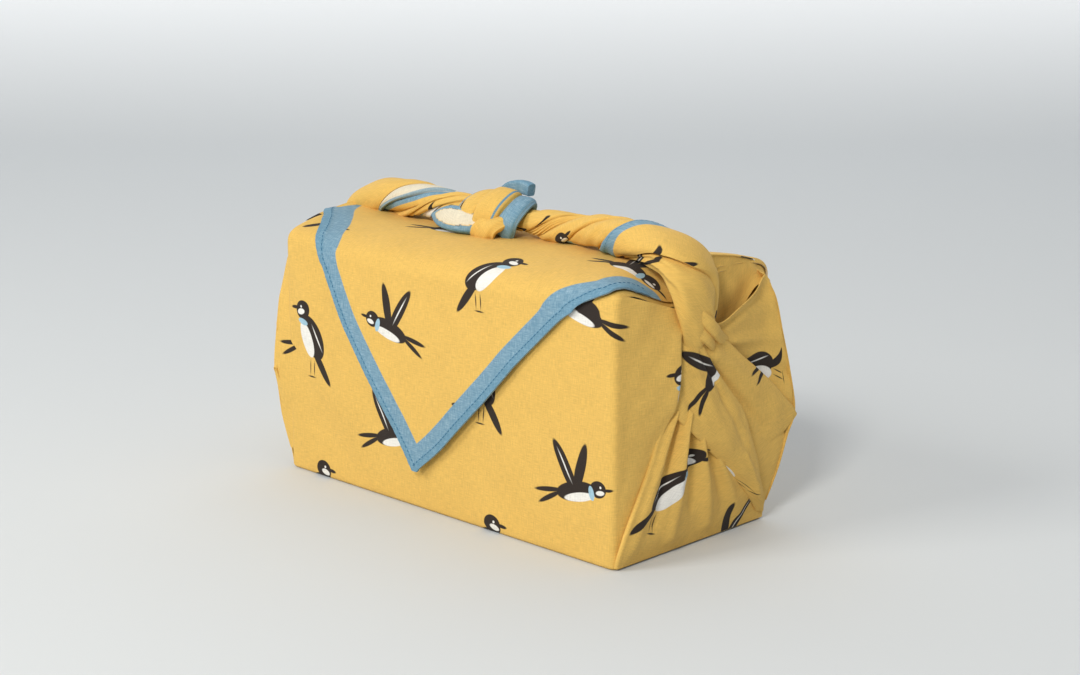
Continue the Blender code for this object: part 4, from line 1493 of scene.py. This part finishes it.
def backdrop():
    """A floor that turns up into a wall behind the object, square to the camera."""
    turn = math.radians(CAMERA_TURN)
    ahead = np.array((-math.sin(turn), math.cos(turn), 0.0))
    aside = np.array((math.cos(turn), math.sin(turn), 0.0))
    profile = [(FLOOR_NEAR, FLOOR_DROP), (FLOOR_FAR, FLOOR_DROP)]
    for angle in np.radians(range(6, 91, 6)):
        way = FLOOR_FAR + SWEEP_RADIUS * math.sin(angle)
        profile.append((way, SWEEP_RADIUS - SWEEP_RADIUS * math.cos(angle)))
    profile.append((FLOOR_FAR + SWEEP_RADIUS, WALL_TOP))
    points = []
    for way, height in profile:
        for half in (-BACKDROP_HALF, BACKDROP_HALF):
            points.append(tuple(ahead * way + aside * half + np.array((0, 0, height))))
    faces = [(2 * i, 2 * i + 1, 2 * i + 3, 2 * i + 2) for i in range(len(profile) - 1)]
    mesh = bpy.data.meshes.new("backdrop")
    mesh.from_pydata(points, [], faces)
    mesh.shade_smooth()
    mesh.materials.append(stage_paper_with_painted_light())
    return [placed("backdrop", mesh)]


# Soft lights. Columns: name, x, y, z of the lamp, its size, its power in watts.
LIGHTS = (
    ("key light", -0.80, -2.20, 1.50, 0.9, 31.0),
    ("fill light", 1.05, -2.00, 1.60, 0.5, 35.0),
    ("top light", 0.10, 0.50, 2.20, 2.0, 8.0),
)
LAMP_COLOUR = (1.0, 0.965, 0.900)
SKY_COLOUR = (0.97, 0.98, 1.0, 1)
SKY_STRENGTH = 0.36


def lights():
    world = bpy.data.worlds.new("soft sky")
    world.use_nodes = True
    background = world.node_tree.nodes["Background"]
    background.inputs[0].default_value = SKY_COLOUR
    background.inputs[1].default_value = SKY_STRENGTH
    bpy.context.scene.world = world
    made = []
    for name, x, y, z, size, power in LIGHTS:
        data = bpy.data.lights.new(name, "AREA")
        data.shape = "SQUARE"
        data.size = size
        data.energy = power
        data.color = LAMP_COLOUR
        obj = placed(name, data)
        obj.location = (x, y, z)
        obj.rotation_euler = obj.location.normalized().to_track_quat("Z", "Y").to_euler()
        made.append(obj)
    return made


class CLOTH_PT_panel(bpy.types.Panel):
    bl_label = "Furoshiki Wrap"
    bl_idname = "CLOTH_PT_panel"
    bl_space_type = "VIEW_3D"
    bl_region_type = "UI"
    bl_category = "Furoshiki"

    def draw(self, context):
        for group in (context.scene.cloth_sizes, context.scene.cloth_colours):
            for name in group.bl_rna.properties.keys():
                if name not in ("rna_type", "name"):
                    self.layout.prop(group, name)
        for operator in OPERATORS:
            self.layout.operator(operator.bl_idname)


OPERATORS = (
    CLOTH_OT_body,
    CLOTH_OT_ends,
    CLOTH_OT_tails,
    CLOTH_OT_knot,
    CLOTH_OT_stitches,
    CLOTH_OT_stage,
)
CLASSES = (ClothSizes, ClothColours, CLOTH_PT_panel) + OPERATORS


def register():
    for each in CLASSES:
        bpy.utils.register_class(each)
    bpy.types.Scene.cloth_sizes = bpy.props.PointerProperty(type=ClothSizes)
    bpy.types.Scene.cloth_colours = bpy.props.PointerProperty(type=ClothColours)


def unregister():
    del bpy.types.Scene.cloth_colours
    del bpy.types.Scene.cloth_sizes
    for each in reversed(CLASSES):
        bpy.utils.unregister_class(each)


def main():
    register()
    bpy.ops.cloth.body()
    bpy.ops.cloth.ends()
    bpy.ops.cloth.tails()
    bpy.ops.cloth.knot()
    bpy.ops.cloth.stitches()
    bpy.ops.cloth.stage()


if __name__ == "__main__":
    main()
